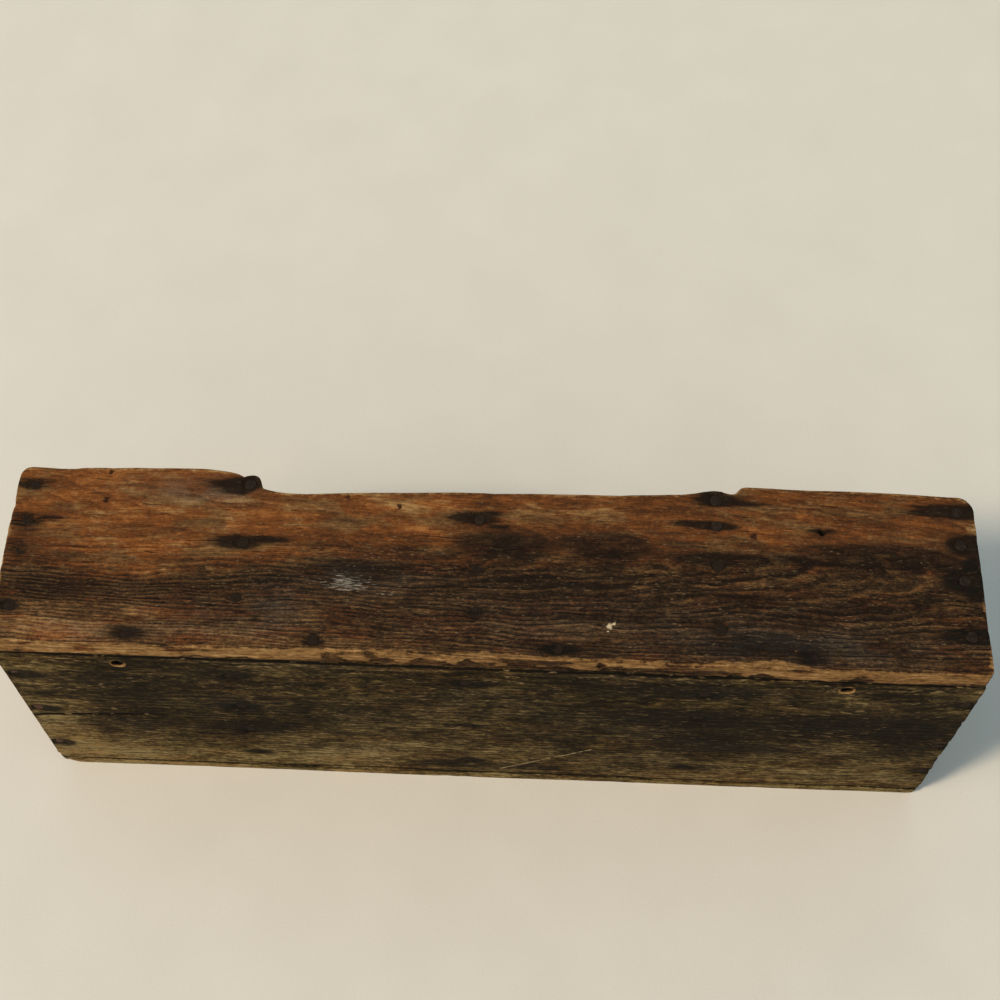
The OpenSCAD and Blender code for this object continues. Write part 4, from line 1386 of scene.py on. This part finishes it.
def lay_flecks_and_dots(wood):
    """Flecks where fine noise is high, and dots within 0.2 of the middles of Voronoi cells."""
    seen = (1 - wood.inside * 0.7) * (1 - wood.iron * 0.8) * (1 - wood.dirty * 0.5)
    fleck = wood.grain_noise(wood.place, *wood.texture.fleck).step(0.61, 0.72)
    fleck = fleck * wood.blotch.step(-0.14, 0.06) * seen
    wood.lay(fleck * (0.36 * wood.texture.rough), FLECK_COLOUR)
    cells = {"Vector": wood.in_cells(wood.place, along_grain(wood.grain, *DOT_CELL)), "Scale": 1.0}
    dot = (wood.add("ShaderNodeTexVoronoi", {}, cells, "Distance") + wood.grit * 0.2).step(0.2, 0.08)
    dot = dot * wood.grain_noise(wood.place, *DOT_PATCH).step(0.45, 0.62) * (1 - wood.inside * 0.8)
    wood.lay(dot * (1 - wood.iron) * (1 - wood.hollow) * (0.34 * wood.texture.streaky ** 0.5), DOT_COLOUR)


def lay_scuffs(wood):
    """Pale scuffs: short lines along the grain inside the scuff field."""
    scuff = wood.field("scuff")
    lines = (scuff + (wood.grain_noise(wood.place, *SCUFF_CELL) - 0.5) * 2.4).step(0.8, 1.05)
    wood.lay(lines * scuff.step(0.02, 0.3) * wood.mottle.step(-0.22, 0.08) * 0.66, SCUFF_COLOUR)


def lay_chip(wood, centre, radius, colours):
    """A small ragged spot: the distance to its centre, roughened by grit and mottles."""
    gap = wood.vector("DISTANCE", wood.place, centre, out="Value") + wood.grit * 3.0 + wood.mottle * 4.0
    wood.lay(gap.step(radius + 0.35, radius - 0.35) * 0.95, wood.ramp(wood.grit + 0.5, *colours))


def lay_scratch(wood, start, end):
    """A thin straight scratch: the share along it is the dot product with run / run squared, and the gap
    is the distance from that point of the line."""
    run = np.subtract(end, start)
    offset = wood.vector("SUBTRACT", wood.place, start)
    share = wood.vector("DOT_PRODUCT", offset, tuple(run / (run @ run)), out="Value")
    along = wood.add("ShaderNodeCombineXYZ", {}, dict(enumerate(share * float(c) for c in run)))
    gap = wood.vector("DISTANCE", offset, along, out="Value")
    line = gap.step(0.8, 0.3) * share.step(-0.02, 0.03) * share.step(1.02, 0.97)
    wood.lay(line * wood.grit.step(-0.2, 0.0) * 0.8, SCRATCH_COLOUR)


print("cell of the dots along X:", along_grain(X_AXIS, *DOT_CELL))

# %% [markdown]
# ## Each board's own wood
#
# One function lays all layers in their order, and roughness and bump follow the same noises. The top
# board is orange brown, the lower board and the back are greyer, and the uprights are paler because they
# stayed inside. The middle line of the tree runs a few centimetres below the top board and leans, so that
# its rings come out as long lines that slowly cross the board.

# %% Finish of old wood
WOOD_BUMP, WOOD_RELIEF, WOOD_SHINE = 0.8, 0.0008, 0.05


def old_wood(name, colours, grain, middle, rings, texture, chips=(), scratch=None):
    """A board's finish: all layers in their order, a bump of fibres less late wood and hollows, and a
    roughness that varies with the grit."""
    wood = OldWood(name, grain, rings.sway, texture)
    late = wood.late_wood(middle, rings)
    tone = light_and_dark(wood, late, rings.share)
    lay_wood(wood, tone, *colours)
    lay_rubbed(wood, tone)
    lay_iron(wood)
    lay_hollows(wood)
    lay_flecks_and_dots(wood)
    lay_scuffs(wood)
    for chip in chips:
        lay_chip(wood, *chip)
    if scratch:
        lay_scratch(wood, *scratch)
    height = wood.fibre * 0.6 + wood.streak * 0.4 + wood.mottle * 0.4 + wood.grit * 0.3
    bump = wood.bump(height - late * 0.5 - wood.hollow * 0.8, WOOD_BUMP, WOOD_RELIEF)
    wood.surface(Base_Color=wood.colour, Roughness=0.74 + wood.grit * 0.16 + tone * 0.06, Normal=bump)
    wood.surface(Specular_IOR_Level=WOOD_SHINE)
    return wood


# Rows of reddish and of golden wood, from dark to light
TOP_COLOURS = (
    paints((27, 17, 10), (50, 31, 17), (80, 46, 22), (113, 64, 28), (150, 93, 44)),
    paints((29, 21, 12), (54, 38, 22), (86, 60, 33), (120, 86, 48), (158, 122, 74)),
)
BACK_COLOURS = (
    paints((18, 12, 4), (40, 28, 12), (70, 51, 24), (101, 77, 41), (140, 111, 66)),
    paints((18, 13, 5), (40, 31, 14), (69, 55, 28), (100, 83, 48), (138, 118, 74)),
)
UPRIGHT_COLOURS = (
    paints((40, 30, 20), (62, 46, 30), (86, 65, 42), (110, 84, 54), (134, 106, 71)),
    paints((40, 34, 26), (62, 52, 39), (86, 73, 54), (110, 94, 70), (134, 116, 88)),
)
print("colours of the boards:", sum(len(row) for row in TOP_COLOURS + BACK_COLOURS + UPRIGHT_COLOURS))

# %% Finishes of the boards
FLAT_RINGS = Rings(gap=2.0, share=0.4, sway=12.0, lean=(0, -0.05, -0.05))
DULL_RINGS = Rings(gap=3.2, share=0.24, sway=12.0, lean=(0, 0, 0))
UPRIGHT_RINGS = Rings(gap=3.1, share=0.3, sway=10.0, lean=(0, 0, 0))
STREAKED = Texture(streaky=0.7, rough=1.1, coarse=1.0, patch=(26, 11), fleck=(3.2, 0.9))
PATCHED = Texture(streaky=0.5, rough=1.55, coarse=1.5, patch=(32, 17), fleck=(6.5, 2.0))
PLAIN = Texture(streaky=0.9, rough=1.0, coarse=1.0, patch=(26, 11), fleck=(3.2, 0.9))
CREAM = paints((150, 120, 78), (226, 204, 164))
WORM_HOLE = paints((24, 15, 9), (62, 36, 22))
# Chips and worm holes of the top: place on its face, radius and colours
CHIP_HEIGHT = 187.7
TOP_CHIPS = [((x, y, CHIP_HEIGHT), radius, colours) for x, y, radius, colours in (
    (66.2, -35.4, 1.7, CREAM), (68.6, -33.6, 0.7, CREAM), (65.4, -38.2, 0.6, CREAM),
    (-222, 33, 1.5, WORM_HOLE), (-222.5, 52, 1.2, WORM_HOLE), (-54, 35.5, 1.6, WORM_HOLE),
    (-84, 41, 1.2, WORM_HOLE), (148, 24, 1.9, WORM_HOLE),
)]
# Start and end of the pale scratch on the back
BACK_SCRATCH = ((7.7, -56.8, 17.5), (64, -56.8, 57))
# A point on the middle line of the tree that each board was sawn from
TREE_MIDDLES = {
    "top_board": (0, 15, 145), "lower_board": (0, -24, 45), "back_board": (0, -20, 140),
    "left_end": (-240, 10, 0), "right_end": (240, -10, 0), "left_divider": (-170, 25, 0),
    "middle_divider": (20, 0, 0), "right_divider": (100, 15, 0),
}
# Name of the finish, its colours, grain, rings and texture, and chips and scratch where a board has them
BOARD_LOOKS = {
    "top_board": ("brown_wood_top", TOP_COLOURS, X_AXIS, FLAT_RINGS, STREAKED, TOP_CHIPS),
    "lower_board": ("brown_wood_lower", BACK_COLOURS, X_AXIS, DULL_RINGS, PATCHED),
    "back_board": ("grey_wood_back", BACK_COLOURS, X_AXIS, DULL_RINGS, PATCHED, (), BACK_SCRATCH),
}
for node in UPRIGHTS:
    BOARD_LOOKS[node] = ("wood_" + node, UPRIGHT_COLOURS, Z_AXIS, UPRIGHT_RINGS, PLAIN)
for node, (name, colours, grain, *look) in BOARD_LOOKS.items():
    finish = old_wood(name, colours, grain, TREE_MIDDLES[node], *look)
    bpy.data.objects["worn_" + node].data.materials.append(finish.material)
    print(f"{name}: {len(finish.tree.nodes)} nodes")

# %% [markdown]
# ## Rusty iron
#
# The heads are brown black with a little orange rust in their hollows, and the rims that hands reach are
# rubbed smoother. Iron this old is all oxide outside, so the shader's metallic share stays at nothing.

# %% Finish of the nails
CRUST_CELL, FLAKE_CELL = (2.6, 2.6, 2.6), (0.6, 0.6, 0.6)
OXIDE = paints((15, 12, 9), (35, 27, 20), (66, 52, 40))
CAKED_DIRT = paints((16, 12, 8), (33, 24, 16), (58, 43, 28))
RED_RUST = paints((44, 27, 18), (84, 58, 44), (128, 94, 74))
ORANGE_RUST = paint(56, 38, 25)
IRON_BUMP, IRON_RELIEF, IRON_SHINE = 0.8, 0.0004, 0.06


def rusty_iron():
    """Dark oxide with rust where coarse noise is high, and a rougher surface there. Buried heads are
    caked with dirt, and a few are red all over."""
    iron = Finish("rusty_iron")
    place = iron.object_place()
    crust = iron.noise(place, CRUST_CELL, 4.0, 0.7)
    flakes = iron.noise(place, FLAKE_CELL)
    rust = (crust + (flakes - 0.5) * 0.4).step(0.48, 0.72)
    colour = iron.blend(rust * 0.4, iron.ramp(crust, *OXIDE), ORANGE_RUST)
    colour = iron.blend(iron.field("crust"), colour, iron.ramp(crust * 0.6 + flakes * 0.4, *CAKED_DIRT))
    colour = iron.blend(iron.field("rust") * 0.85, colour, iron.ramp(crust, *RED_RUST))
    bump = iron.bump(crust + flakes * 0.4, IRON_BUMP, IRON_RELIEF)
    iron.surface(Base_Color=colour, Roughness=0.72 + rust * 0.2 - iron.field("rub") * 0.08, Normal=bump)
    iron.surface(Specular_IOR_Level=IRON_SHINE)
    return iron


nail_iron = rusty_iron()
for piece in nail_pieces:
    piece.data.materials.append(nail_iron.material)
print("rows of nails with a finish:", len(nail_pieces))

# %% [markdown]
# ## Floor
#
# A plain pale floor catches a soft shadow. It is one square sheet that reaches far past the picture, and
# a little noise keeps it from looking like a cut-out.

# %% Pale floor
FLOOR_HALF = 4000.0
FLOOR_COLOURS = paints((205, 194, 174), (222, 211, 192))


def pale_floor():
    """A square sheet under the box: two ends along X and two along Y make its four points."""
    xs, ys = np.meshgrid([-FLOOR_HALF, FLOOR_HALF], [-FLOOR_HALF, FLOOR_HALF])
    corners = np.stack([xs, ys, np.zeros((2, 2))], -1).reshape(-1, 3) * MM
    mesh = bpy.data.meshes.new("pale_floor")
    mesh.from_pydata(corners.tolist(), [], [(0, 1, 3, 2)])
    floor = bpy.data.objects.new("pale_floor", mesh)
    scene.collection.objects.link(floor)
    matte = Finish("pale_floor")
    place = matte.object_place()
    shade = matte.noise(place, (60, 60, 60)) * 0.5 + matte.noise(place, (1.5, 1.5, 1.5)) * 0.5
    matte.surface(Base_Color=matte.ramp(shade, *FLOOR_COLOURS), Roughness=0.9)
    floor.data.materials.append(matte.material)


pale_floor()
print("floor side:", 2 * FLOOR_HALF * MM, "m")

# %% [markdown]
# ## Sky
#
# A cool sky lights the box from all round, as the light of a room does. Seen by the camera, or in a
# glossy or clear surface, the same sky is a plain pale background, so a ray's kind chooses between the
# two colours.

# %% Sky
class Sky(Finish):
    """The world's nodes, added by the same method as those of a finish."""

    def __init__(self, name):
        self.world = bpy.data.worlds.new(name)
        self.world.use_nodes = True
        self.tree = self.world.node_tree
        self.shader = self.tree.nodes["Background"]


SKY_LIGHT = (0.3, 0.425, 0.545, 1.0)
BACKGROUND = paint(207, 202, 189)
scene.view_settings.view_transform = "Standard"
sky = Sky("soft_sky")
camera_ray, glossy_ray, clear_ray = [
    sky.add("ShaderNodeLightPath", {}, {}, kind)
    for kind in ("Is Camera Ray", "Is Glossy Ray", "Is Transmission Ray")
]
sky.surface(Color=sky.blend(camera_ray + glossy_ray + clear_ray, SKY_LIGHT, BACKGROUND))
scene.world = sky.world
print("sky nodes:", len(sky.tree.nodes))

# %% [markdown]
# ## Lamps
#
# The light comes from the left and a little from the near side, warm and soft: a wide sun for the shadow,
# and an area lamp at the same place for a slight fall of light along the box. Two weak lamps fill the
# near and the far side. Together with the sky they are set so that a colour renders about as it is
# written.

# %% Lamps
def stand(thing, right, up, back, place):
    """Turns an object so that its own X, Y and Z axes are right, up and back, and puts it at a place."""
    columns = np.column_stack([right, up, back, place])
    thing.matrix_world = Matrix(np.vstack([columns, (0, 0, 0, 1)]).tolist())


LIT_POINT = (0, 0, 0.1)
# Kind, place, size, power and colour; a sun's size is its angle in radians, an area lamp's that of its side
LAMPS = {
    "window_light": ("SUN", (-2.05, -1.05, 2.3), 0.16, 2.2, (1.0, 0.89, 0.77)),
    "left_light": ("AREA", (-2.05, -1.05, 2.3), 1.2, 30, (1.0, 0.88, 0.75)),
    "near_light": ("AREA", (0.3, -2.4, 1.4), 1.6, 6, (1.0, 0.95, 0.88)),
    "far_light": ("AREA", (0.5, 2.4, 1.3), 1.6, 6, (1.0, 0.96, 0.9)),
}
for name, (kind, place, size, power, colour) in LAMPS.items():
    lamp = bpy.data.lights.new(name, kind)
    lamp.energy = power
    lamp.color = colour
    setattr(lamp, "angle" if kind == "SUN" else "size", size)
    holder = bpy.data.objects.new(name, lamp)
    scene.collection.objects.link(holder)
    back = np.subtract(place, LIT_POINT)
    back /= np.linalg.norm(back)
    right = np.cross((0, 0, 1), back)
    right /= np.linalg.norm(right)
    stand(holder, right, np.cross(back, right), back, place)
print("lamps:", list(LAMPS))

# %% [markdown]
# ## Camera
#
# The camera stands where the corners of the box, the hanging holes and the nails line up with their
# places in the picture. Blender's camera looks along its own -Z axis, so the way ahead and the way down
# change sign.

# %% Camera
LENS, SENSOR, NEAREST = 56.16, 36.0, 0.01
CAMERA_PLACE = np.array([0.01707, -0.40358, 0.96353])
CAMERA_RIGHT = np.array([0.99927, 0.03808, 0.00403])
CAMERA_DOWN = np.array([0.03502, -0.86617, -0.49852])
CAMERA_AHEAD = np.array([-0.01549, 0.49829, -0.86687])
lens = bpy.data.cameras.new("photo_camera")
lens.lens = LENS
lens.sensor_width = SENSOR
lens.clip_start = NEAREST
camera = bpy.data.objects.new("photo_camera", lens)
scene.collection.objects.link(camera)
stand(camera, CAMERA_RIGHT, -CAMERA_DOWN, -CAMERA_AHEAD, CAMERA_PLACE)
scene.camera = camera
print("camera at", CAMERA_PLACE, "with a lens of", LENS, "mm")

# %% [markdown]
# ## Sizes
#
# The dressed box has to stay inside the packed one.
